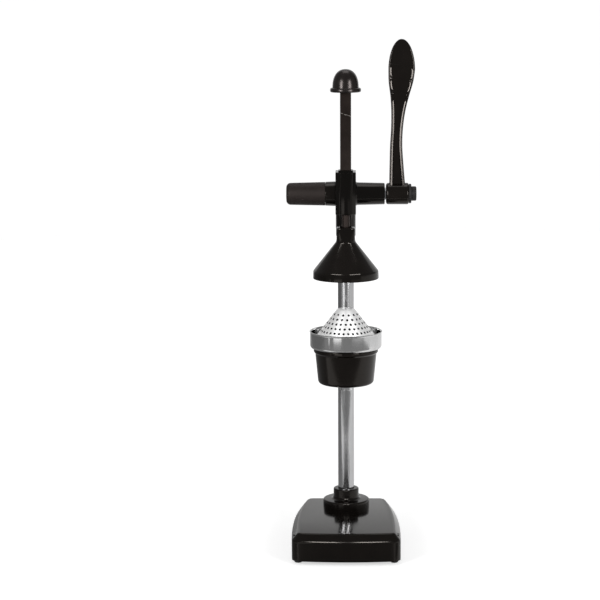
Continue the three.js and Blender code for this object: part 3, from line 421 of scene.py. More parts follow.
def spun(corners, closed=False, steps=ROUND, axis="Z", at=(0, 0, 0), solid=True):
    """Turns an outline into a round piece along an axis. It's solid, or a skin to build on."""
    bm = outline(corners, closed)
    bmesh.ops.spin(bm, geom=bm.verts[:] + bm.edges[:], cent=(0, 0, 0), axis=(0, 0, 1),
                   dvec=(0, 0, 0), angle=2 * math.pi, steps=steps, use_merge=True)
    bmesh.ops.remove_doubles(bm, verts=bm.verts, dist=0.001)
    if solid:
        face_outwards(bm)
    if axis == "X":
        turn(bm, 90, "Y")
    if axis == "Y":
        turn(bm, -90, "X")
    move(bm, *at)
    return bm


def rod(diameter, start, end, axis="Z", at=(0, 0, 0), steps=SMALL_ROUND):
    """A plain round bar, for cutting and joining."""
    radius = diameter / 2
    return spun([(0, start), (radius, start), (radius, end), (0, end)], steps=steps, axis=axis, at=at)


def slab(corners, low, high, axis="Z"):
    """A plate with a flat outline (x, y) or (x, y, round), along Z, or seen from the side along X."""
    bm = outline(corners, closed=True)
    face = bmesh.ops.contextual_create(bm, geom=bm.edges[:])["faces"]
    made = bmesh.ops.extrude_face_region(bm, geom=face, use_keep_orig=True)
    bmesh.ops.translate(bm, verts=verts_of(made), vec=(0, high - low, 0))
    move(bm, 0, low, 0)
    rows = {"Z": ((1, 0, 0), (0, 0, 1), (0, 1, 0)), "X": ((0, 1, 0), (1, 0, 0), (0, 0, 1))}
    bmesh.ops.transform(bm, matrix=Matrix(rows[axis]).to_4x4(), verts=bm.verts)
    face_outwards(bm)
    return bm


def box_corners(left, front, right, back, *corner):
    return [(left, front, *corner), (right, front, *corner), (right, back, *corner),
            (left, back, *corner)]


def square_corners(width, *corner):
    half = width / 2
    return box_corners(-half, -half, half, half, *corner)


def rounded_edges(bm, radius, angle=40, segments=3):
    """Rounds the sharp edges of a piece."""
    sharp = [edge for edge in bm.edges if edge.calc_face_angle(0) > math.radians(angle)]
    bmesh.ops.bevel(bm, geom=sharp, offset=radius, offset_type="OFFSET", segments=segments,
                    profile=0.5, affect="EDGES", clamp_overlap=True, material=-1)
    return bm


def as_object(bm, name="scratch"):
    mesh = bpy.data.meshes.new(name)
    bm.to_mesh(mesh)
    bm.free()
    made = bpy.data.objects.new(name, mesh)
    bpy.context.collection.objects.link(made)
    return made


def combined(bm, tools, operation):
    """Joins pieces to a piece, or cuts them out of it."""
    body = as_object(bm)
    others = [as_object(tool) for tool in tools]
    for other in others:
        boolean = body.modifiers.new(operation, "BOOLEAN")
        boolean.operation = operation
        boolean.solver = "MANIFOLD"
        boolean.object = other
    mesh = bpy.data.meshes.new_from_object(
        body.evaluated_get(bpy.context.evaluated_depsgraph_get()))
    result = bmesh.new()
    result.from_mesh(mesh)
    bpy.data.meshes.remove(mesh)
    for scratch in [body, *others]:
        bpy.data.meshes.remove(scratch.data)
    return result


def joined(bm, *tools):
    return combined(bm, tools, "UNION")


def cut(bm, *tools):
    return combined(bm, tools, "DIFFERENCE")


def gathered(*parts):
    """Puts several closed shells in one mesh."""
    result = bmesh.new()
    for part in parts:
        mesh = bpy.data.meshes.new("scratch")
        part.to_mesh(mesh)
        part.free()
        result.from_mesh(mesh)
        bpy.data.meshes.remove(mesh)
    return result


def mapped_sheet(columns, rows, place):
    """A grid whose points are placed by (across, up), from 0 to 1. Its seams and poles are closed."""
    bm = bmesh.new()
    bmesh.ops.create_grid(bm, x_segments=columns, y_segments=rows, size=1)
    for vert in bm.verts:
        vert.co = place((vert.co.x + 1) / 2, (vert.co.y + 1) / 2)
    bmesh.ops.remove_doubles(bm, verts=bm.verts, dist=0.002)
    face_outwards(bm)
    return bm


def smooth_line(points, value):
    """Reads a smooth curve through points (place, reading, ...) at a place."""
    i = 0
    while i < len(points) - 2 and value > points[i + 1][0]:
        i += 1
    before, low = points[max(i - 1, 0)], points[i]
    high, after = points[i + 1], points[min(i + 2, len(points) - 1)]
    t = min(max((value - low[0]) / (high[0] - low[0]), 0), 1)
    readings = []
    for k in range(1, len(low)):
        slope_low = (high[k] - before[k]) / (high[0] - before[0]) * (high[0] - low[0])
        slope_high = (after[k] - low[k]) / (after[0] - low[0]) * (high[0] - low[0])
        readings.append(
            low[k] * (2 * t**3 - 3 * t**2 + 1) + slope_low * (t**3 - 2 * t**2 + t)
            + high[k] * (3 * t**2 - 2 * t**3) + slope_high * (t**3 - t**2))
    return readings


def smooth_step(low, high, value):
    t = min(max((value - low) / (high - low), 0), 1)
    return t * t * (3 - 2 * t)


def add_piece(name, bm, finish, body, replaced, at=(0, 0, 0), smooth_angle=35):
    """Makes the finished piece from a mesh in millimetres, ties it to its body and hides the CAD
    nodes that it replaces.
    """
    bmesh.ops.transform(bm, matrix=Matrix.Scale(MM, 4) @ Matrix.Translation(at), verts=bm.verts)
    piece = as_object(bm, name)
    piece.data.shade_smooth()
    piece.data.set_sharp_from_angle(angle=math.radians(smooth_angle))
    material, slot = FINISHES[finish][:2]
    piece.data.materials.append(bpy.data.materials[material])
    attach(piece, body)
    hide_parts(*replaced)
    return piece


# Materials

# A finish has the name of its colour in PressColours: material, slot of the record, brightness of
# its second tone, share of metal, strength of the bumps, gloss and its tint, then values for DETAIL
FINISHES = {
    "enamel": ("Black enamel", "enamel", 1.5, 0, 0.25, 0.3, (1, 0.92, 0.85),
               420, 0.05, 45, 0.1, 0.16, 1),
    "grip": ("Grip plastic", "grip_plastic", 1.35, 0, 0.6, 0.35, (1, 0.85, 0.8),
             2600, 0.12, 90, 0.5, 0.62, 1),
    "knob": ("Knob plastic", "knob_plastic", 1.5, 0, 0.6, 0.5, (1, 0.9, 0.87),
             1500, 0.07, 140, 0.2, 0.28, 1),
    "cap": ("Cap plastic", "cap_plastic", 0.55, 0, 0.7, 0.35, (1, 1, 1),
            1300, 0.2, 260, 0.5, 0.7, 1),
    "rack": ("Blackened steel", "rack_steel", 1.9, 0.3, 0.3, 0.3, (1, 0.82, 0.75),
             1400, 0.1, 55, 0.4, 0.55, 0.06),
    "chrome": ("Chrome", "chrome", 0.94, 1, 0.1, 0.5, (1, 1, 1),
               700, 0.008, 50, 0.15, 0.2, 0.02),
    "satin": ("Satin stainless", "stainless", 0.95, 0.5, 0.3, 0.5, (1, 1, 1),
              1100, 0.05, 110, 0.36, 0.44, 1),
    # Painted shade: near-black stainless for the holes' walls and the strainer's underside
    "dull": ("Dull stainless", "stainless", 0.8, 0.9, 0.3, 0.5, (1, 1, 1),
             900, 0.06, 110, 0.6, 0.7, 1),
    "stainless": ("Polished stainless", "stainless", 0.95, 1, 0.1, 0.5, (1, 1, 1),
                  500, 0.02, 70, 0.1, 0.15, 8),
    "zinc": ("Zinc plated steel", "zinc_steel", 0.85, 1, 0.3, 0.5, (1, 1, 1),
             900, 0.06, 200, 0.28, 0.42, 1),
    "bronze": ("Bearing bronze", "bronze", 0.8, 1, 0.3, 0.5, (1, 1, 1),
               1500, 0.06, 200, 0.35, 0.5, 1),
    "rubber": ("Rubber", "rubber", 1.6, 0, 0.5, 0.5, (1, 1, 1),
               1800, 0.15, 150, 0.7, 0.85, 1),
}
SMUDGE_RANGE = (0.35, 0.7)
# Values of the group that all finishes share. The stretch is along the height.
DETAIL = ("Grain Scale", "Grain Height", "Smudge Scale", "Roughness Low", "Roughness High", "Stretch")

# The rack's scratch and the height over which it turns brown
SCRATCH_RISE = 507.0
SCRATCH_SLOPE = -0.33
SCRATCH_WANDER = 1.6
SCRATCH_EDGES = (0.1, 0.5)
SCRATCH_COLOUR = (0.30, 0.28, 0.26, 1)
BROWN_FROM = 490.0
BROWN_TO = 455.0
BROWN_SHARE = 0.85


def feed(tree, value, socket):
    """Links an output to an input socket, or gives the input a plain value."""
    if isinstance(value, bpy.types.NodeSocket):
        tree.links.new(value, socket)
    else:
        socket.default_value = value


def add_node(tree, kind, **settings):
    node = tree.nodes.new(kind)
    for name, value in settings.items():
        setattr(node, name, value)
    return node


def add_noise(tree, vector, scale, detail=2.0, roughness=0.5):
    noise = add_node(tree, "ShaderNodeTexNoise")
    for socket, value in (("Vector", vector), ("Scale", scale), ("Detail", detail),
                          ("Roughness", roughness)):
        feed(tree, value, noise.inputs[socket])
    return noise.outputs["Fac"]


def add_math(tree, operation, *values):
    node = add_node(tree, "ShaderNodeMath", operation=operation)
    for socket, value in zip(node.inputs, values):
        feed(tree, value, socket)
    return node.outputs[0]


def add_range(tree, *values):
    """Maps a value, given as (value, from low, from high, to low, to high)."""
    node = add_node(tree, "ShaderNodeMapRange")
    for socket, value in zip(("Value", "From Min", "From Max", "To Min", "To Max"), values):
        feed(tree, value, node.inputs[socket])
    return node.outputs["Result"]


def add_blend(tree, share, colour, other):
    node = add_node(tree, "ShaderNodeMix", data_type="RGBA")
    for socket, value in (("Factor", share), ("A", colour), ("B", other)):
        feed(tree, value, node.inputs[socket])
    return node.outputs["Result"]


def add_split(tree, vector):
    split = add_node(tree, "ShaderNodeSeparateXYZ")
    feed(tree, vector, split.inputs[0])
    return split.outputs


def make_surface_group():
    """Fine grain and broad smudges, shared by all finishes."""
    group = bpy.data.node_groups.new("Surface detail", "ShaderNodeTree")
    for name in DETAIL:
        group.interface.new_socket(name, in_out="INPUT", socket_type="NodeSocketFloat")
    for name in ("Roughness", "Height", "Smudge"):
        group.interface.new_socket(name, in_out="OUTPUT", socket_type="NodeSocketFloat")
    given = add_node(group, "NodeGroupInput").outputs
    place = add_node(group, "ShaderNodeTexCoord").outputs["Object"]
    split = add_split(group, place)
    stretched = add_node(group, "ShaderNodeCombineXYZ")
    feed(group, split["X"], stretched.inputs["X"])
    feed(group, split["Y"], stretched.inputs["Y"])
    feed(group, add_math(group, "MULTIPLY", split["Z"], given["Stretch"]), stretched.inputs["Z"])
    grain = add_noise(group, stretched.outputs[0], given["Grain Scale"], 3.0)
    smudge = add_noise(group, place, given["Smudge Scale"], 5.0, 0.6)
    mask = add_range(group, smudge, *SMUDGE_RANGE, 0.0, 1.0)
    rough = add_range(group, mask, 0.0, 1.0, given["Roughness Low"], given["Roughness High"])
    result = add_node(group, "NodeGroupOutput")
    feed(group, rough, result.inputs["Roughness"])
    feed(group, add_math(group, "MULTIPLY", grain, given["Grain Height"]), result.inputs["Height"])
    feed(group, mask, result.inputs["Smudge"])


def new_material(name, **inputs):
    """Makes a material, and gives its shader plain values."""
    material = bpy.data.materials.new(name)
    material.use_nodes = True
    shader = material.node_tree.nodes["Principled BSDF"]
    for socket, value in inputs.items():
        shader.inputs[socket.replace("_", " ")].default_value = value
    return material, material.node_tree, shader


def make_finish(name, colour, tint, metal, bump, gloss, sheen, *detail):
    """A material whose colour varies between two tones, with grain and smudges from the group.

    Returns the tree, the shader and the mixed colour.
    """
    _, tree, shader = new_material(name, Metallic=metal, Specular_IOR_Level=gloss,
                                   Specular_Tint=(*sheen, 1))
    surface = add_node(tree, "ShaderNodeGroup", node_tree=bpy.data.node_groups["Surface detail"])
    for socket, value in zip(DETAIL, detail):
        surface.inputs[socket].default_value = value
    mixed = add_blend(tree, surface.outputs["Smudge"], (*colour, 1),
                      (*[part * tint for part in colour], 1))
    relief = add_node(tree, "ShaderNodeBump")
    relief.inputs["Strength"].default_value = bump
    relief.inputs["Distance"].default_value = MM
    feed(tree, surface.outputs["Height"], relief.inputs["Height"])
    feed(tree, mixed, shader.inputs["Base Color"])
    feed(tree, surface.outputs["Roughness"], shader.inputs["Roughness"])
    feed(tree, relief.outputs["Normal"], shader.inputs["Normal"])
    return tree, shader, mixed


def wear_rack(low_colour, tree, shader, mixed):
    """Makes the rack browner further down, with one pale scratch across its front."""
    place = add_node(tree, "ShaderNodeTexCoord").outputs["Object"]
    split = add_split(tree, place)
    wander = add_math(tree, "MULTIPLY", add_noise(tree, place, 260.0), SCRATCH_WANDER * MM)
    slope = add_math(tree, "MULTIPLY", split["X"], SCRATCH_SLOPE)
    line = add_math(tree, "SUBTRACT", add_math(tree, "ADD", split["Z"], wander),
                    add_math(tree, "ADD", slope, SCRATCH_RISE * MM))
    near = add_range(tree, add_math(tree, "ABSOLUTE", line),
                     *[edge * MM for edge in SCRATCH_EDGES], 1.0, 0.0)
    broken = add_range(tree, add_noise(tree, place, 420.0, 4.0), 0.38, 0.55, 0.0, 1.0)
    brown = add_range(tree, split["Z"], BROWN_FROM * MM, BROWN_TO * MM, 0.0, BROWN_SHARE)
    browned = add_blend(tree, brown, mixed, (*low_colour, 1))
    worn = add_blend(tree, add_math(tree, "MULTIPLY", near, broken), browned, SCRATCH_COLOUR)
    feed(tree, worn, shader.inputs["Base Color"])


class PRESS_OT_materials(bpy.types.Operator):
    """Make the finishes of all pieces"""

    bl_idname = "press.materials"
    bl_label = "Finishes"

    def execute(self, context):
        colours = context.scene.press_colours
        make_surface_group()
        for finish, (material, _, *values) in FINISHES.items():
            made = make_finish(material, getattr(colours, finish), *values)
            if finish == "rack":
                wear_rack(colours.rack_low, *made)
        return {"FINISHED"}


# Pieces


def base_plate():
    """The skirt and top, hollow from below."""
    front_half, back_half = BASE_FRONT_WIDTH / 2, BASE_BACK_WIDTH / 2
    pull_y = BASE_BACK - (BASE_FRONT + BASE_BACK) * BASE_BULGE_SHARE

    def along(*points, steps=10):
        start, pull, end = (Vector(point) for point in points)
        curve = [start * (1 - t) ** 2 + pull * 2 * t * (1 - t) + end * t**2
                 for t in (i / steps for i in range(1, steps))]
        return [(point.x, point.y) for point in curve]

    bow = along((-front_half, -BASE_FRONT), (0, -BASE_FRONT - 2 * BASE_BOW),
                (front_half, -BASE_FRONT))
    side = along((front_half, -BASE_FRONT), (front_half + BASE_BULGE, pull_y),
                 (back_half, BASE_BACK))
    corners = [*bow, (front_half, -BASE_FRONT, BASE_FRONT_CORNER), *side,
               (back_half, BASE_BACK, BASE_BACK_CORNER),
               (-back_half, BASE_BACK, BASE_BACK_CORNER),
               *[(-x, y) for x, y in reversed(side)],
               (-front_half, -BASE_FRONT, BASE_FRONT_CORNER)]
    bm = slab(corners, SKIRT_FOOT, SHOULDER)
    top = [face for face in bm.faces if face.normal.z > 0.9]
    bmesh.ops.inset_region(bm, faces=top, thickness=SHOULDER_RUN, use_even_offset=True,
                           depth=BASE_TOP - SHOULDER)
    top = max(bm.faces, key=lambda face: face.calc_center_median().z)
    shoulder = [edge for edge in bm.edges
                if all(abs(vert.co.z - SHOULDER) < 0.01 for vert in edge.verts)]
    bmesh.ops.bevel(bm, geom=[*top.edges, *shoulder], offset=BASE_EDGE,
                    offset_type="OFFSET", segments=4, profile=0.5, affect="EDGES",
                    material=-1)
    below = [face for face in bm.faces if face.normal.z < -0.9]
    bmesh.ops.inset_region(bm, faces=below, thickness=BASE_WALL, use_even_offset=True)
    below = [face for face in bm.faces
             if face.normal.z < -0.9 and face.calc_area() > BASE_FRONT * BASE_WALL * 10]
    made = bmesh.ops.extrude_face_region(bm, geom=below)
    bmesh.ops.translate(bm, verts=verts_of(made),
                        vec=(0, 0, SHOULDER - BASE_WALL - SKIRT_FOOT))
    bmesh.ops.delete(bm, geom=below, context="FACES_ONLY")
    inner = [item for item in made["geom"] if isinstance(item, bmesh.types.BMFace)]
    bmesh.ops.inset_region(bm, faces=inner, thickness=SHOULDER_RUN, use_even_offset=True,
                           depth=-(BASE_TOP - SHOULDER))
    face_outwards(bm)
    return bm


def base_socket():
    """The pad with the column's socket, and the boss below it."""
    bore = COLUMN_DIAMETER / 2 + RUN_GAP
    radius = SOCKET_DIAMETER / 2
    bolt = BASE_BOLT_BORE / 2
    socket = spun([
        (bolt, SOCKET_FOOT), (radius, SOCKET_FOOT, 1), (radius, BASE_TOP - SINK),
        (PAD_DIAMETER / 2, BASE_TOP - SINK), (PAD_DIAMETER / 2, PAD_TOP, 1.8),
        (radius, PAD_TOP, BASE_WALL), (radius, SOCKET_TOP, 1.3), (bore, SOCKET_TOP, 0.5),
        (bore, SOCKET_FLOOR), (bolt, SOCKET_FLOOR),
    ], closed=True)
    hole = rod(SCREW_BORE, 0, radius + OVERRUN, axis="Y", at=(0, 0, BASE_SCREW_RISE),
               steps=BORE_ROUND)
    return cut(socket, hole)


def base_ribs():
    """Stiffening ribs under the top."""
    half = BASE_RIB / 2
    plans = []
    for share, reach in CROSS_RIBS:
        y = BASE_BACK - (BASE_FRONT + BASE_BACK) * share
        plans.append(box_corners(-reach, y - half, reach, y + half))
    for x in (-PAD_DIAMETER / 2, PAD_DIAMETER / 2):
        plans.append(box_corners(x - half, LONG_RIB_FRONT - BASE_FRONT, x + half,
                                 BASE_BACK - LONG_RIB_BACK))
    return [slab(plan, BASE_RIB_FOOT, BASE_RIB_TOP) for plan in plans]


class PRESS_OT_base(bpy.types.Operator):
    """Make the hollow cast base and its rubber feet"""

    bl_idname = "press.base"
    bl_label = "Base and feet"

    def execute(self, context):
        bosses = [rod(FOOT_BOSS_DIAMETER, SKIRT_FOOT, BASE_TOP - BASE_WALL, at=(*place, 0),
                      steps=BORE_ROUND) for place in FOOT_PLACES.values()]
        base = gathered(base_plate(), base_socket(), *base_ribs(), *bosses)
        add_piece("base_casting", base, "enamel", "stand", ["base"], at=COLUMN_AXIS)
        radius, stem = FOOT_DIAMETER / 2, FOOT_STEM_DIAMETER / 2
        for name, place in FOOT_PLACES.items():
            foot = spun([
                (0, 0), (radius, 0, 1.4), (radius, SKIRT_FOOT - GAP, 0.4),
                (stem, SKIRT_FOOT - GAP), (stem, FOOT_TOP), (0, FOOT_TOP),
            ], steps=SMALL_ROUND)
            add_piece(f"rubber_{name}", foot, "rubber", "stand", [name],
                      at=COLUMN_AXIS + Vector((*place, 0)))
        return {"FINISHED"}


class PRESS_OT_column(bpy.types.Operator):
    """Make the chromed column"""

    bl_idname = "press.column"
    bl_label = "Column"

    def execute(self, context):
        outer = COLUMN_DIAMETER / 2
        inner = outer - COLUMN_WALL
        column = spun([
            (outer, COLUMN_FOOT, 0.4), (outer, COLUMN_TOP, 0.4), (inner, COLUMN_TOP),
            (inner, COLUMN_FOOT),
        ], closed=True)
        add_piece("column_tube", column, "chrome", "stand", ["column"], at=COLUMN_AXIS)
        return {"FINISHED"}


class PRESS_OT_holder(bpy.types.Operator):
    """Make the cast cup that carries the bowl, with its arm and clamp"""

    bl_idname = "press.holder"
    bl_label = "Bowl holder"

    def execute(self, context):
        foot, lip = HOLDER_FOOT_DIAMETER / 2, HOLDER_LIP_DIAMETER / 2
        wall = lip - HOLDER_STEP
        cup = spun([
            (0, 0), (foot, 0, 4.5), (wall, HOLDER_LIP_FOOT - HOLDER_STEP, 1.2),
            (lip, HOLDER_LIP_FOOT, 0.8), (lip, HOLDER_HEIGHT, 0.9), (0, HOLDER_HEIGHT),
        ])
        inside = spun([
            (0, HOLDER_FLOOR), (foot - HOLDER_WALL, HOLDER_FLOOR, 4.5),
            (wall - HOLDER_WALL, HOLDER_LIP_FOOT - HOLDER_STEP),
            (wall - HOLDER_WALL, HOLDER_HEIGHT + OVERRUN), (0, HOLDER_HEIGHT + OVERRUN),
        ])
        half = ARM_WIDTH / 2
        arm = rounded_edges(slab(box_corners(-half, ARM_START, half, REACH),
                                 CLAMP_FOOT, CLAMP_TOP), 2.0, segments=4)
        radius = CLAMP_DIAMETER / 2
        clamp = spun([(0, CLAMP_FOOT), (radius, CLAMP_FOOT, 1.2), (radius, CLAMP_TOP, 1.2),
                      (0, CLAMP_TOP)], at=(0, REACH, 0))
        back = REACH + CLAMP_EAR_REACH
        ears = rounded_edges(slab([
            (REACH + CLAMP_EAR_START, CLAMP_FOOT), (back, CLAMP_FOOT, 7), (back, CLAMP_TOP, 7),
            (REACH + CLAMP_EAR_START, CLAMP_TOP),
        ], -CLAMP_EAR_WIDTH / 2, CLAMP_EAR_WIDTH / 2, axis="X"), 1.0)
        slot = CLAMP_SLOT / 2
        holder = cut(
            joined(cup, arm, clamp, ears), inside,
            rod(SPOUT_HOLE, -OVERRUN, HOLDER_FLOOR + OVERRUN),
            rod(COLUMN_DIAMETER + 2 * RUN_GAP, 0, CLAMP_TOP + OVERRUN, at=(0, REACH, 0), steps=ROUND),
            slab(box_corners(-slot, REACH, slot, back + OVERRUN), 0, HOLDER_HEIGHT + OVERRUN),
            rod(SCREW_BORE, -CLAMP_EAR_WIDTH, CLAMP_EAR_WIDTH, axis="X", steps=BORE_ROUND,
                at=(0, REACH + CLAMP_BOLT_BACK, (CLAMP_FOOT + CLAMP_TOP) / 2)))
        add_piece("holder_casting", holder, "enamel", "stand", ["holder"], at=HOLDER_FOOT)
        return {"FINISHED"}


class PRESS_OT_bowl(bpy.types.Operator):
    """Make the stainless juice bowl"""

    bl_idname = "press.bowl"
    bl_label = "Juice bowl"

    def execute(self, context):
        middle = SHEET / 2
        spout = SPOUT_DIAMETER / 2 - middle
        ring = RING_DIAMETER / 2 - middle
        funnel = FUNNEL_DIAMETER / 2 - middle
        bowl = spun([
            (spout, -SPOUT_DROP), (spout, GAP - SPOUT_DROP), (spout, BOWL_FLOOR_RISE + middle, 4),
            (BOWL_FLOOR_DIAMETER / 2, BOWL_FLOOR_RISE + FUNNEL_FALL + middle, 4),
            (funnel, FUNNEL_TOP, 2), (funnel, SHELF + middle, 0.6), (ring, SHELF + middle, 2.6),
            (ring, RIM - 2 * RING_LIP, 1.2), (ring + RING_LIP, RIM - middle),
        ])
        piece = add_piece("bowl_sheet", bowl, "stainless", "stand", ["juice_bowl"], at=HOLDER_FOOT)
        wall = piece.modifiers.new("Sheet", "SOLIDIFY")
        wall.thickness = SHEET * MM
        wall.offset = 0
        wall.use_even_offset = True
        return {"FINISHED"}


class PRESS_OT_strainer(bpy.types.Operator):
    """Make the perforated strainer"""

    bl_idname = "press.strainer"
    bl_label = "Strainer"

    def execute(self, context):
        sizes = context.scene.press_sizes
        middle = SHEET / 2
        top, bottom = STRAINER_TOP - middle, RIM - STRAINER_DEPTH
        top_radius, radius = STRAINER_TOP_DIAMETER / 2, STRAINER_DIAMETER / 2
        shelf = SHELF + SHEET + GAP + middle
        lean = math.atan2(top - bottom, radius - top_radius)
        across, up = middle * math.sin(lean), middle * math.cos(lean)
        turn = middle * math.tan(lean / 2)
        side = middle * math.tan((math.pi / 2 - lean) / 2)
        shell = spun([
            (0, top + middle), (top_radius + turn, top + middle, 2.3),
            (radius + middle, bottom + side, 3.2), (radius + middle, shelf + middle),
            (radius + STRAINER_FLANGE, shelf + middle), (radius + STRAINER_FLANGE, shelf - middle),
            (radius - middle, shelf - middle), (radius - middle, bottom - side, 2.6),
            (top_radius - turn, top - middle, 1.6), (0, top - middle),
        ])
        punch = bmesh.new()
        bore = sizes.hole_diameter / 2 / MM
        for row in range(sizes.hole_rows):
            place = FIRST_ROW_DIAMETER / 2 + row * HOLE_ROW_PITCH * math.cos(lean)
            height = top - (place - top_radius) * math.tan(lean)
            count = FIRST_ROW_HOLES + row * EXTRA_HOLES
            for i in range(count):
                angle = 2 * math.pi * (i + (row % 2) / 2) / count
                spot = (Matrix.Rotation(angle, 4, "Z") @ Matrix.Translation((place, 0, height))
                        @ Matrix.Rotation(math.pi / 2 - lean, 4, "Y"))
                bmesh.ops.create_cone(punch, cap_ends=True, segments=HOLE_STEPS, radius1=bore,
                                      radius2=bore, depth=3 * SHEET, matrix=spot)
        strainer = cut(shell, punch)
        # Faces that don't look out of the cone, the holes' walls and the underside, get near-black
        # stainless as painted shade
        for face in strainer.faces:
            out = face.calc_center_median().xy.normalized() * math.sin(lean)
            inside = face.normal.dot(Vector((*out, math.cos(lean)))) < 0.3
            face.material_index = 1 if inside else 0
        piece = add_piece("strainer_sheet", strainer, "satin", "stand", ["strainer"],
                          at=HOLDER_FOOT)
        piece.data.materials.append(bpy.data.materials["Dull stainless"])
        return {"FINISHED"}


def bell_top_ring(bm):
    """The open edge at the cone's top."""
    return [edge for edge in bm.edges
            if edge.is_boundary and edge.verts[0].co.xy.length > NECK_WIDTH / 2]


def raised_ring(bm, ring, height, half, power):
    """Carries the skin on to a ring between a circle (power 2) and a square."""
    made = bmesh.ops.extrude_edge_only(bm, edges=ring)
    for vert in verts_of(made):
        angle = math.atan2(vert.co.y, vert.co.x)
        c, s = math.cos(angle), math.sin(angle)
        reach = half / (abs(c) ** power + abs(s) ** power) ** (1 / power)
        vert.co = (reach * c, reach * s, height)
    return [edge for edge in made["geom"] if isinstance(edge, bmesh.types.BMEdge)
            and all(abs(vert.co.z - height) < 1e-6 for vert in edge.verts)
            and edge.is_boundary]


class PRESS_OT_bell(bpy.types.Operator):
    """Make the cast pressing bell with its square neck"""

    bl_idname = "press.bell"
    bl_label = "Pressing bell"

    def execute(self, context):
        rim = BELL_DIAMETER / 2
        band = rim - BELL_TAPER
        neck = NECK_WIDTH / 2
        lean = math.atan2(band - neck, BELL_HEIGHT - BELL_BAND)
        apex = neck + (BELL_HEIGHT - BELL_APEX) * math.tan(lean) - BELL_WALL / math.cos(lean)
        bore, screw = SHANK_BORE / 2, SCREW_BORE / 2
        bell = spun([
            (screw, BELL_APEX), (apex, BELL_APEX, 1.5),
            (band - BELL_WALL, BELL_BAND - BELL_WALL * math.tan(lean / 2), 4),
            (rim - BELL_WALL, 0, 0.8), (rim, 0, 0.8), (band, BELL_BAND, 4),
            (neck + NECK_FLARE, BELL_HEIGHT - NECK_FLARE_DROP),
        ], solid=False)
        ring = bell_top_ring(bell)
        inside = ((BELL_TOP, bore), (BELL_TOP - SHANK_DEPTH, bore),
                  (BELL_TOP - SHANK_DEPTH, screw), (BELL_APEX, screw))
        for station in (*NECK_RINGS, *[(height, half, 2.0) for height, half in inside]):
            ring = raised_ring(bell, ring, *station)
        bmesh.ops.remove_doubles(bell, verts=bell.verts, dist=0.01)
        face_outwards(bell)
        add_piece("bell_casting", bell, "enamel", "ram", ["bell"], at=BELL_RIM)
        return {"FINISHED"}


class PRESS_OT_knob(bpy.types.Operator):
    """Make the knob on the rack's top"""

    bl_idname = "press.knob"
    bl_label = "Knob"

    def execute(self, context):
        radius = KNOB_DIAMETER / 2
        steps = 20
        dome = []
        for i in range(steps):
            angle = math.pi / 2 * i / steps
            dome.append((DOME_DIAMETER / 2 * math.cos(angle) ** (2 / DOME_POWER),
                         KNOB_FLANGE + DOME_HEIGHT * math.sin(angle) ** (2 / DOME_POWER)))
        knob = spun([(0, 0), (radius, 0, 1.7), (radius, KNOB_FLANGE, 2.0), *dome,
                     (0, KNOB_FLANGE + DOME_HEIGHT)])
        socket = slab(square_corners(RACK_WIDTH + 2 * GAP, 0.6), -OVERRUN, RACK_IN_KNOB)
        knob = cut(knob, socket, rod(SCREW_BORE, 0, STUD_TOP, steps=BORE_ROUND))
        add_piece("knob_moulding", knob, "knob", "ram", ["knob"], at=KNOB_FOOT, smooth_angle=50)
        return {"FINISHED"}


def head_block():
    """The block round the rack and pinion, with a bowed front."""
    half = HEAD_WIDTH / 2
    steps = 14
    bow = [(-half + HEAD_WIDTH * i / steps,
            HEAD_FRONT + HEAD_BOW * (2 * (2 * i / steps - 1) ** 2 - 1) / 2 + HEAD_BOW / 2)
           for i in range(1, steps)]
    plan = slab([(-half, HEAD_FRONT + HEAD_BOW, 1.5), *bow, (half, HEAD_FRONT + HEAD_BOW, 1.5),
                 (half, HEAD_BACK), (-half, HEAD_BACK)], 0, HEAD_HEIGHT)
    ahead = HEAD_FRONT - 2 * OVERRUN
    side = slab([(ahead, 0), (HEAD_BACK, 0, HEAD_CORNER),
                 (HEAD_BACK, HEAD_HEIGHT, HEAD_CORNER), (ahead, HEAD_HEIGHT)],
                -HEAD_WIDTH, HEAD_WIDTH, axis="X")
    block = combined(plan, [side], "INTERSECT")
    bmesh.ops.dissolve_limit(block, angle_limit=math.radians(0.5), verts=block.verts,
                             edges=block.edges)
    return rounded_edges(block, 0.9, angle=50)


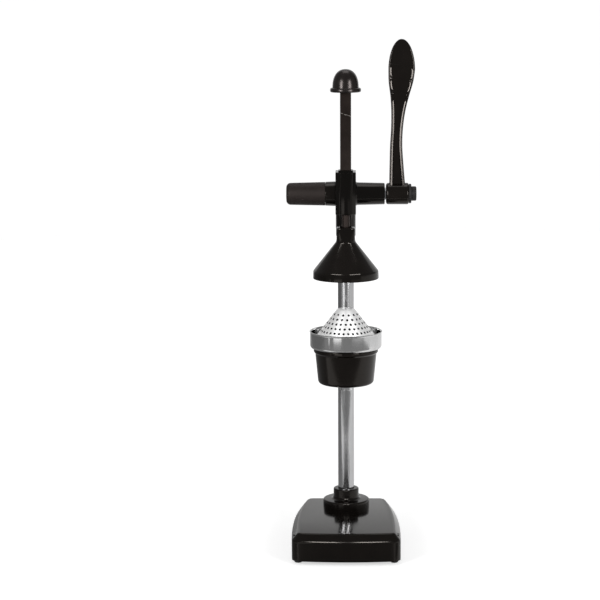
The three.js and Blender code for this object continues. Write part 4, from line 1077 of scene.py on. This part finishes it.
class PRESS_OT_head(bpy.types.Operator):
    """Make the head casting: block, cross tube and column socket"""

    bl_idname = "press.head"
    bl_label = "Head"

    def execute(self, context):
        shaft = (0, SHAFT_BACK, SHAFT_RISE)
        column = (0, REACH, 0)
        lip = rounded_edges(slab(square_corners(LIP_WIDTH, 3), HEAD_HEIGHT - SINK,
                                 HEAD_HEIGHT + LIP_HEIGHT), 0.7, angle=60)
        half = HEAD_WIDTH / 2
        root = TUBE_ROOT_DIAMETER / 2
        tube = spun([
            (0, half - 3), (root + TUBE_ROOT_STEP, half - 3),
            (root + TUBE_ROOT_STEP, half - 0.2, 0.3), (root, half + TUBE_ROOT_STEP, 1.5),
            (TUBE_DIAMETER / 2, TUBE_END, 1), (0, TUBE_END),
        ], axis="X", at=shaft)
        socket = spun([(0, -HEAD_SOCKET_DROP), (HEAD_SOCKET_DIAMETER / 2, -HEAD_SOCKET_DROP, 0.8),
                       (HEAD_SOCKET_DIAMETER / 2, HEAD_SOCKET_TOP, 2.5), (0, HEAD_SOCKET_TOP)],
                      at=column)
        front = HEAD_BACK - WEB_MARGIN
        web = rounded_edges(slab([
            (front, WEB_MARGIN), (REACH, -WEB_DROP), (REACH, HEAD_SOCKET_TOP - WEB_MARGIN),
            (front, HEAD_SOCKET_TOP - WEB_MARGIN),
        ], -WEB_WIDTH / 2, WEB_WIDTH / 2, axis="X"), 1.5)
        boss = SCREW_BOSS_DIAMETER / 2
        bosses = [spun([(0, 0), (boss, 0), (boss, SCREW_BOSS_REACH, 1), (0, SCREW_BOSS_REACH)],
                       steps=SMALL_ROUND, axis="Y", at=(0, REACH, height))
                  for height in HEAD_SCREWS]
        body = joined(head_block(), lip, tube, socket, web, *bosses)
        holes = [rod(SCREW_BORE, 0, SCREW_BOSS_REACH + OVERRUN, axis="Y", at=(0, REACH, height),
                     steps=BORE_ROUND) for height in HEAD_SCREWS]
        head = cut(
            body,
            slab(square_corners(CHANNEL_WIDTH, 0.5), -OVERRUN, HEAD_HEIGHT + LIP_HEIGHT + OVERRUN),
            rod(PINION_BORE, -half - OVERRUN, PINION_BORE_END, axis="X", at=shaft),
            rod(TUBE_BORE, 0, TUBE_END + OVERRUN, axis="X", at=shaft),
            rod(COLUMN_DIAMETER + 2 * RUN_GAP, -HEAD_SOCKET_DROP - OVERRUN, COLUMN_STOP, at=column),
            *holes)
        add_piece("head_casting", head, "enamel", "stand", ["head_housing"], at=HEAD_FOOT)
        return {"FINISHED"}


class PRESS_OT_grip(bpy.types.Operator):
    """Make the collar and the steadying grip"""

    bl_idname = "press.grip"
    bl_label = "Collar and grip"

    def execute(self, context):
        rod_radius = ROD_DIAMETER / 2 + RUN_GAP
        nipple = NIPPLE_DIAMETER / 2
        collar = spun([
            (rod_radius, NIPPLE_END), (nipple, NIPPLE_END, 0.4), (nipple, COLLAR_OUTER),
            (COLLAR_OUTER_DIAMETER / 2, COLLAR_OUTER, 0.6),
            (COLLAR_INNER_DIAMETER / 2, COLLAR_INNER, 0.6), (PLUG_DIAMETER / 2, COLLAR_INNER),
            (PLUG_DIAMETER / 2, PLUG_END), (TUBE_BORE / 2, PLUG_END),
            (TUBE_BORE / 2, SHAFT_START - GAP), (0, SHAFT_START - GAP),
            (0, NIPPLE_END + ROD_DEPTH), (rod_radius, NIPPLE_END + ROD_DEPTH),
        ], closed=True, axis="X")
        add_piece("collar_casting", collar, "enamel", "stand", ["collar"], at=SHAFT_AXIS)
        grip = spun([
            (0, GRIP_END), (GRIP_OUTER_DIAMETER / 2, GRIP_END, GRIP_ROUND),
            (GRIP_INNER_DIAMETER / 2, GRIP_MOUTH, 0.4), (nipple + RUN_GAP, GRIP_MOUTH),
            (nipple + RUN_GAP, NIPPLE_END - GAP), (rod_radius, NIPPLE_END - GAP),
            (rod_radius, ROD_END - GAP), (0, ROD_END - GAP),
        ], axis="X")
        add_piece("grip_sleeve", grip, "grip", "stand", ["grip"], at=SHAFT_AXIS)
        return {"FINISHED"}


def lever_edges(height):
    """Left and right edge of the front view at a height, and the thickness there."""
    arm = LEVER_REACH - PADDLE_ROUND
    width, shift = smooth_line(LEVER_SHARES, min(height / arm, 1.0))
    past = max(height - arm, 0) / PADDLE_ROUND
    width *= math.sqrt(max(1 - past * past, 0))
    middle = LEVER_X + shift * PADDLE_SHIFT
    thickness = smooth_line(THICKNESS_SHARES, height / LEVER_REACH)[0] * LEVER_THICKNESS
    return middle, width * PADDLE_WIDTH / 2, thickness / 2


def lever_arm(groove_depth, groove_pitch):
    """A skin round the arm, with a row of points for each height."""
    # Across half a side: distance from the edge, depth below the face, share of the lip
    # round a sunk place, and share of the panel's depth
    across = []
    for i in range(LEVER_ROUND_STEPS + 1):
        angle = math.pi / 2 * i / LEVER_ROUND_STEPS
        across.append((LEVER_ROUND * (1 - math.cos(angle)), LEVER_ROUND * (1 - math.sin(angle)),
                       0.0, 0.0))
    across.append((LEVER_RIM, 0.0, 0.0, 0.0))
    across += [(LEVER_RIM + past, 0.0, *shares) for past, *shares in LEVER_LIP_SHARES]
    steps = len(across) + LEVER_FLOOR_STEPS - 1  # from an edge to the middle of a face
    ring = 4 * steps
    grooves = [FIRST_GROOVE + i * groove_pitch for i in range(GROOVES)]
    lean = math.tan(math.radians(GROOVE_LEAN))

    def groove_share(level, width):
        return max(math.exp(-((level - centre) / width) ** 2) for centre in grooves)

    def profile(k, half_width, shift):
        squeeze = min(1.0, half_width / LEVER_FULL)
        if k < len(across):
            inset, drop, lip, floor = across[k]
            inset += shift if k > LEVER_ROUND_STEPS else 0.0
            return half_width - inset * squeeze, drop * squeeze, lip, floor
        t = (k - len(across) + 1) / LEVER_FLOOR_STEPS
        start = half_width - (across[-1][0] + shift) * squeeze
        return start * (1 - t), 0.0, 1.0, 1.0

    def place(u, v):
        height = LEVER_FOOT + (LEVER_REACH - LEVER_FOOT) * (1 - (1 - v) ** LEVER_ROW_POWER)
        middle, half_width, half_thick = lever_edges(height)
        quarter, step = divmod(round(u * ring) % ring, steps)
        if quarter in (1, 3):
            step = steps - step
        side = 1 if quarter in (0, 3) else -1
        front = quarter in (0, 1)
        sunk = 1 - smooth_step(*PANEL_FADE, height - PANEL_TOP)
        level = height + side * (half_width - LEVER_RIM) * lean
        pads = smooth_step(*PADS_FROM, level - grooves[0])
        pads *= 1 - smooth_step(*PADS_TO, level - grooves[-1])
        shift = PAD_INSET * groove_share(level, PAD_GAP) * pads if front else 0.0
        x, drop, lip, floor = profile(step, half_width, shift)
        y = half_thick - drop - LEVER_LIP * lip * (max(sunk, pads) if front else sunk)
        y += (min(LEVER_WEB / 2, half_thick - LEVER_LEAST_DROP) - y) * floor * sunk
        if front:
            fade = smooth_step(*GROOVE_FADE, half_width - x - LEVER_RIM)
            y -= groove_depth * fade * groove_share(height + side * x * lean, GROOVE_WIDTH)
        y *= max(smooth_step(0.0, LEVER_TIP, half_width), LEVER_TIP_THICKNESS)
        return Vector((middle + side * x, -y if front else y, height))

    bm = mapped_sheet(ring, LEVER_ROWS, place)
    bmesh.ops.holes_fill(bm, edges=[edge for edge in bm.edges if edge.is_boundary], sides=0)
    face_outwards(bm)
    return bm


class PRESS_OT_lever(bpy.types.Operator):
    """Make the lever with its hub, ribbed arm and paddle, and the hub's end cap"""

    bl_idname = "press.lever"
    bl_label = "Lever and cap"

    def execute(self, context):
        sizes = context.scene.press_sizes
        arm = lever_arm(sizes.groove_depth / MM, sizes.groove_pitch / MM)
        hub = spun([
            (0, HUB_INNER), (HUB_DIAMETER / 2, HUB_INNER, 2.8), (HUB_DIAMETER / 2, HUB_OUTER, 2),
            (COUNTERBORE / 2, HUB_OUTER), (COUNTERBORE / 2, COUNTERBORE_FLOOR),
            (0, COUNTERBORE_FLOOR),
        ], axis="X")
        hub = cut(hub, slab(square_corners(SQUARE_BORE), HUB_INNER - OVERRUN,
                            COUNTERBORE_FLOOR + OVERRUN, axis="X"))
        add_piece("lever_casting", gathered(arm, hub), "enamel", "lever_assembly", ["lever"],
                  at=SHAFT_AXIS, smooth_angle=18)
        plug, hollow = COUNTERBORE / 2 - RUN_GAP, CAP_NOSE_DIAMETER / 2 - CAP_WALL
        seat = HUB_OUTER + GAP
        cap = spun([
            (hollow, HUB_OUTER - CAP_PLUG), (plug, HUB_OUTER - CAP_PLUG), (plug, seat),
            (CAP_FLANGE_DIAMETER / 2, seat), (CAP_FLANGE_DIAMETER / 2, seat + CAP_FLANGE, 0.8),
            (CAP_NOSE_DIAMETER / 2, seat + CAP_FLANGE, 0.4), (CAP_NOSE_DIAMETER / 2, CAP_END, 1.6),
            (0, CAP_END), (0, CAP_END - CAP_WALL), (hollow, CAP_END - CAP_WALL),
        ], closed=True, axis="X")
        add_piece("end_cap_moulding", cap, "cap", "lever_assembly", ["end_cap"], at=SHAFT_AXIS)
        return {"FINISHED"}


class PRESS_OT_hardware(bpy.types.Operator):
    """Give the rack, shaft, screws, nuts, washers and bushes their finishes"""

    bl_idname = "press.hardware"
    bl_label = "Rack and hardware"

    def execute(self, context):
        slots = {entry["node"]: entry["material_slot"] for entry in frame["record"]["subparts"]}
        materials = {slot: material for material, slot, *_ in FINISHES.values()}
        for name, node in frame["nodes"].items():
            node.data.materials.clear()
            node.data.materials.append(bpy.data.materials[materials[slots[name]]])
        return {"FINISHED"}


# Stage, in metres from the middle of the worktop. A lamp for some pieces alone, or for all but some,
# isn't mirrored by the others.

# Each stands on both sides: place, size, target, its power's setting, the link and its pieces
SIDE_LAMPS = {
    "softbox": ((1, -1.28, 0.73), (0.45, 0.92), (0, 0, 0.73), "side_power", "EXCLUDE",
                ("base_casting", "bell_casting", "bowl_sheet", "strainer_sheet", "lever_casting",
                 "head_casting")),
    "lever lamp": ((1, -1.28, 0.73), (0.3, 0.92), (0, 0, 0.73), "lever_power", "INCLUDE",
                   ("lever_casting",)),
    "high lamp": ((1, -1.28, 1.69), (1.3, 0.45), (0, 0, 0.33), "high_power", "INCLUDE",
                  ("bell_casting", "strainer_sheet")),
    "base lamp": ((0.2, -1.13, 0.81), (0.25, 0.35), (0, -0.09, 0.03), "base_power", "INCLUDE",
                  ("base_casting",)),
}
TOP_LAMP = ((0.0, 0.3, 1.9), (0.9, 0.9), (0, 0, 0.3))
# Low cards for metal to reflect: place, size, turn, tilt and glow. They face the camera's side
# before their turn.
CARDS = {
    "Left flag": ((-0.75, 0.525, 0.15), (1.55, 0.3), 90, 90, 0.13),
    "Right reflector": ((0.9, 0.14, 0.15), (1.65, 0.3), 90, 90, 0.75),
    "Right front reflector": ((0.62, -0.8, 0.11), (0.7, 0.22), 38, 90, 0.5),
    "Left front reflector": ((-0.454, -0.891, 0.11), (0.46, 0.22), -27, 90, 1.3),
    "Left floor flag": ((-0.43, 0.65, 0.002), (0.7, 1.5), 0, 0, 0.2),
    "Front floor flag": ((0, -0.2, 0.002), (0.42, 0.22), 0, 0, 0.15),
    "Narrow reflector": ((-0.819, -0.574, 0.11), (0.06, 0.22), -55, 90, 1.2),
}
FLOOR_RADIUS = 1.71
FLOOR_BACK = 1.35  # of its middle
BACKDROP_REACH = 3.2  # from its middle to each side
BACKDROP_PLACE = (0.7, 3.3, 1.5)
# Grey level, glow near and far, and the share of the glow that mirrors see
FLOOR_LOOK = (0.8, 0.6, 0.95, 0.6)
BACKDROP_LOOK = (0.3, 0.9, 0.9, 0.65)
GLOW_DISTANCES = (0.3, 1.6)
CAMERA_DISTANCE = 2.330  # from the column
CAMERA_HEIGHT = 0.659
CAMERA_PITCH = 9.09
CAMERA_PAN = 1.33
CAMERA_ROLL = -0.3


def white_material(name, grey, glow, far_glow, mirrored):
    """A pale surface that the camera and mirrors see nearly white, with the shadows kept.

    Its glow rises with the distance from the object, where the lamps no longer reach, and
    mirrors see the share of it that mirrored gives.
    """
    material, tree, shader = new_material(name, Base_Color=(grey, grey, grey, 1),
                                          Roughness=0.9, Emission_Color=(1, 1, 1, 1))
    path = add_node(tree, "ShaderNodeLightPath").outputs
    seen = add_math(tree, "MULTIPLY", path["Is Glossy Ray"], mirrored)
    seen = add_math(tree, "MAXIMUM", path["Is Camera Ray"], seen)
    seen = add_math(tree, "MAXIMUM", seen, path["Is Transmission Ray"])
    away = add_node(tree, "ShaderNodeVectorMath", operation="LENGTH")
    feed(tree, add_node(tree, "ShaderNodeTexCoord").outputs["Object"], away.inputs[0])
    level = add_range(tree, away.outputs["Value"], *GLOW_DISTANCES, glow, far_glow)
    feed(tree, add_math(tree, "MULTIPLY", seen, level), shader.inputs["Emission Strength"])
    return material


def make_floor():
    """A round floor, and a backdrop behind it."""
    bm = bmesh.new()
    bmesh.ops.create_circle(bm, cap_ends=True, segments=ROUND, radius=FLOOR_RADIUS)
    move(bm, 0, FLOOR_BACK, 0)
    floor = as_object(bm, "floor")
    floor.data.materials.append(white_material("Floor", *FLOOR_LOOK))
    bm = bmesh.new()
    bmesh.ops.create_grid(bm, x_segments=1, y_segments=1, size=BACKDROP_REACH)
    turn(bm, 90, "X")
    move(bm, *BACKDROP_PLACE)
    backdrop = as_object(bm, "backdrop")
    backdrop.data.materials.append(white_material("Backdrop", *BACKDROP_LOOK))


def make_card(name, place, size, pan, tilt, glow):
    """A glowing sheet that only mirrors see."""
    bm = bmesh.new()
    bmesh.ops.create_grid(bm, x_segments=1, y_segments=1, size=0.5)
    bmesh.ops.scale(bm, verts=bm.verts, vec=(*size, 1))
    turn(bm, tilt, "X")
    turn(bm, pan, "Z")
    move(bm, *place)
    card = as_object(bm, name.lower().replace(" ", "_"))
    card.data.materials.append(new_material(
        name, Base_Color=(0.02, 0.02, 0.02, 1), Emission_Color=(1, 1, 1, 1),
        Emission_Strength=glow)[0])
    card.visible_camera = False
    card.visible_diffuse = False
    card.visible_shadow = False


def make_world(strength):
    """White to the camera, and a weaker light from all sides to everything else."""
    world = bpy.data.worlds.new("Studio")
    bpy.context.scene.world = world
    world.use_nodes = True
    tree = world.node_tree
    background = tree.nodes["Background"]
    background.inputs["Color"].default_value = (1, 1, 1, 1)
    path = add_node(tree, "ShaderNodeLightPath")
    level = add_range(tree, path.outputs["Is Camera Ray"], 0.0, 1.0, strength, 1.0)
    feed(tree, level, background.inputs["Strength"])


def make_lamp(name, place, size, target, power, state="EXCLUDE", pieces=()):
    """An area lamp that leaves out the given pieces, or lights them alone."""
    data = bpy.data.lights.new(name, "AREA")
    data.shape = "RECTANGLE"
    data.size, data.size_y = size
    data.energy = power
    lamp = bpy.data.objects.new(name, data)
    bpy.context.collection.objects.link(lamp)
    lamp.visible_camera = False
    lamp.location = place
    aim = Vector(target) - lamp.location
    lamp.rotation_euler = aim.to_track_quat("-Z", "Y").to_euler()
    if pieces:
        linked = bpy.data.collections.new(f"{name} pieces")
        for piece in pieces:
            linked.objects.link(bpy.data.objects[piece])
        for entry in linked.collection_objects:
            entry.light_linking.link_state = state
        lamp.light_linking.receiver_collection = linked


def make_camera(focal_length):
    """Stands in front of the column, and looks down and a little to the left."""
    data = bpy.data.cameras.new("Camera")
    data.lens = focal_length
    data.sensor_width = 36
    data.clip_end = 50
    camera = bpy.data.objects.new("Camera", data)
    bpy.context.collection.objects.link(camera)
    camera.location = (COLUMN_AXIS.x * MM, COLUMN_AXIS.y * MM - CAMERA_DISTANCE, CAMERA_HEIGHT)
    aim = (Matrix.Rotation(math.radians(CAMERA_PAN), 3, "Z")
           @ Matrix.Rotation(math.radians(90 - CAMERA_PITCH), 3, "X")
           @ Matrix.Rotation(math.radians(CAMERA_ROLL), 3, "Z"))
    camera.rotation_euler = aim.to_euler()
    bpy.context.scene.camera = camera


class PRESS_OT_stage(bpy.types.Operator):
    """Make the floor, the backdrop, the lamps and the camera"""

    bl_idname = "press.stage"
    bl_label = "Stage"

    def execute(self, context):
        studio = context.scene.press_studio
        make_floor()
        make_world(studio.room_light)
        for side, hand in ((-1, "Left"), (1, "Right")):
            for name, ((x, y, z), size, target, power, *pieces) in SIDE_LAMPS.items():
                make_lamp(f"{hand} {name}", (side * x, y, z), size, target,
                          getattr(studio, power), *pieces)
        make_lamp("Top softbox", *TOP_LAMP, studio.top_power)
        for name, values in CARDS.items():
            make_card(name, *values)
        make_camera(studio.focal_length)
        context.scene.view_settings.view_transform = "Standard"
        return {"FINISHED"}


OPERATORS = (
    PRESS_OT_materials,
    PRESS_OT_base,
    PRESS_OT_column,
    PRESS_OT_holder,
    PRESS_OT_bowl,
    PRESS_OT_strainer,
    PRESS_OT_bell,
    PRESS_OT_knob,
    PRESS_OT_head,
    PRESS_OT_grip,
    PRESS_OT_lever,
    PRESS_OT_hardware,
    PRESS_OT_stage,
)


class VIEW3D_PT_press(bpy.types.Panel):
    """Sizes, colours and steps of the citrus press"""

    bl_label = "Citrus press"
    bl_space_type = "VIEW_3D"
    bl_region_type = "UI"
    bl_category = "Citrus press"

    def draw(self, context):
        for title in ("press_sizes", "press_colours", "press_studio"):
            settings = getattr(context.scene, title)
            box = self.layout.box()
            for name in settings.__annotations__:
                box.prop(settings, name)
        for operator in OPERATORS:
            self.layout.operator(operator.bl_idname)


CLASSES = (PressSizes, PressColours, StudioSettings, *OPERATORS, VIEW3D_PT_press)


def register():
    for cls in CLASSES:
        bpy.utils.register_class(cls)
    bpy.types.Scene.press_sizes = bpy.props.PointerProperty(type=PressSizes)
    bpy.types.Scene.press_colours = bpy.props.PointerProperty(type=PressColours)
    bpy.types.Scene.press_studio = bpy.props.PointerProperty(type=StudioSettings)


def unregister():
    del bpy.types.Scene.press_studio
    del bpy.types.Scene.press_colours
    del bpy.types.Scene.press_sizes
    for cls in reversed(CLASSES):
        bpy.utils.unregister_class(cls)


def main():
    register()
    bpy.ops.press.materials()
    bpy.ops.press.base()
    bpy.ops.press.column()
    bpy.ops.press.holder()
    bpy.ops.press.bowl()
    bpy.ops.press.strainer()
    bpy.ops.press.bell()
    bpy.ops.press.knob()
    bpy.ops.press.head()
    bpy.ops.press.grip()
    bpy.ops.press.lever()
    bpy.ops.press.hardware()
    bpy.ops.press.stage()


if __name__ == "__main__":
    main()
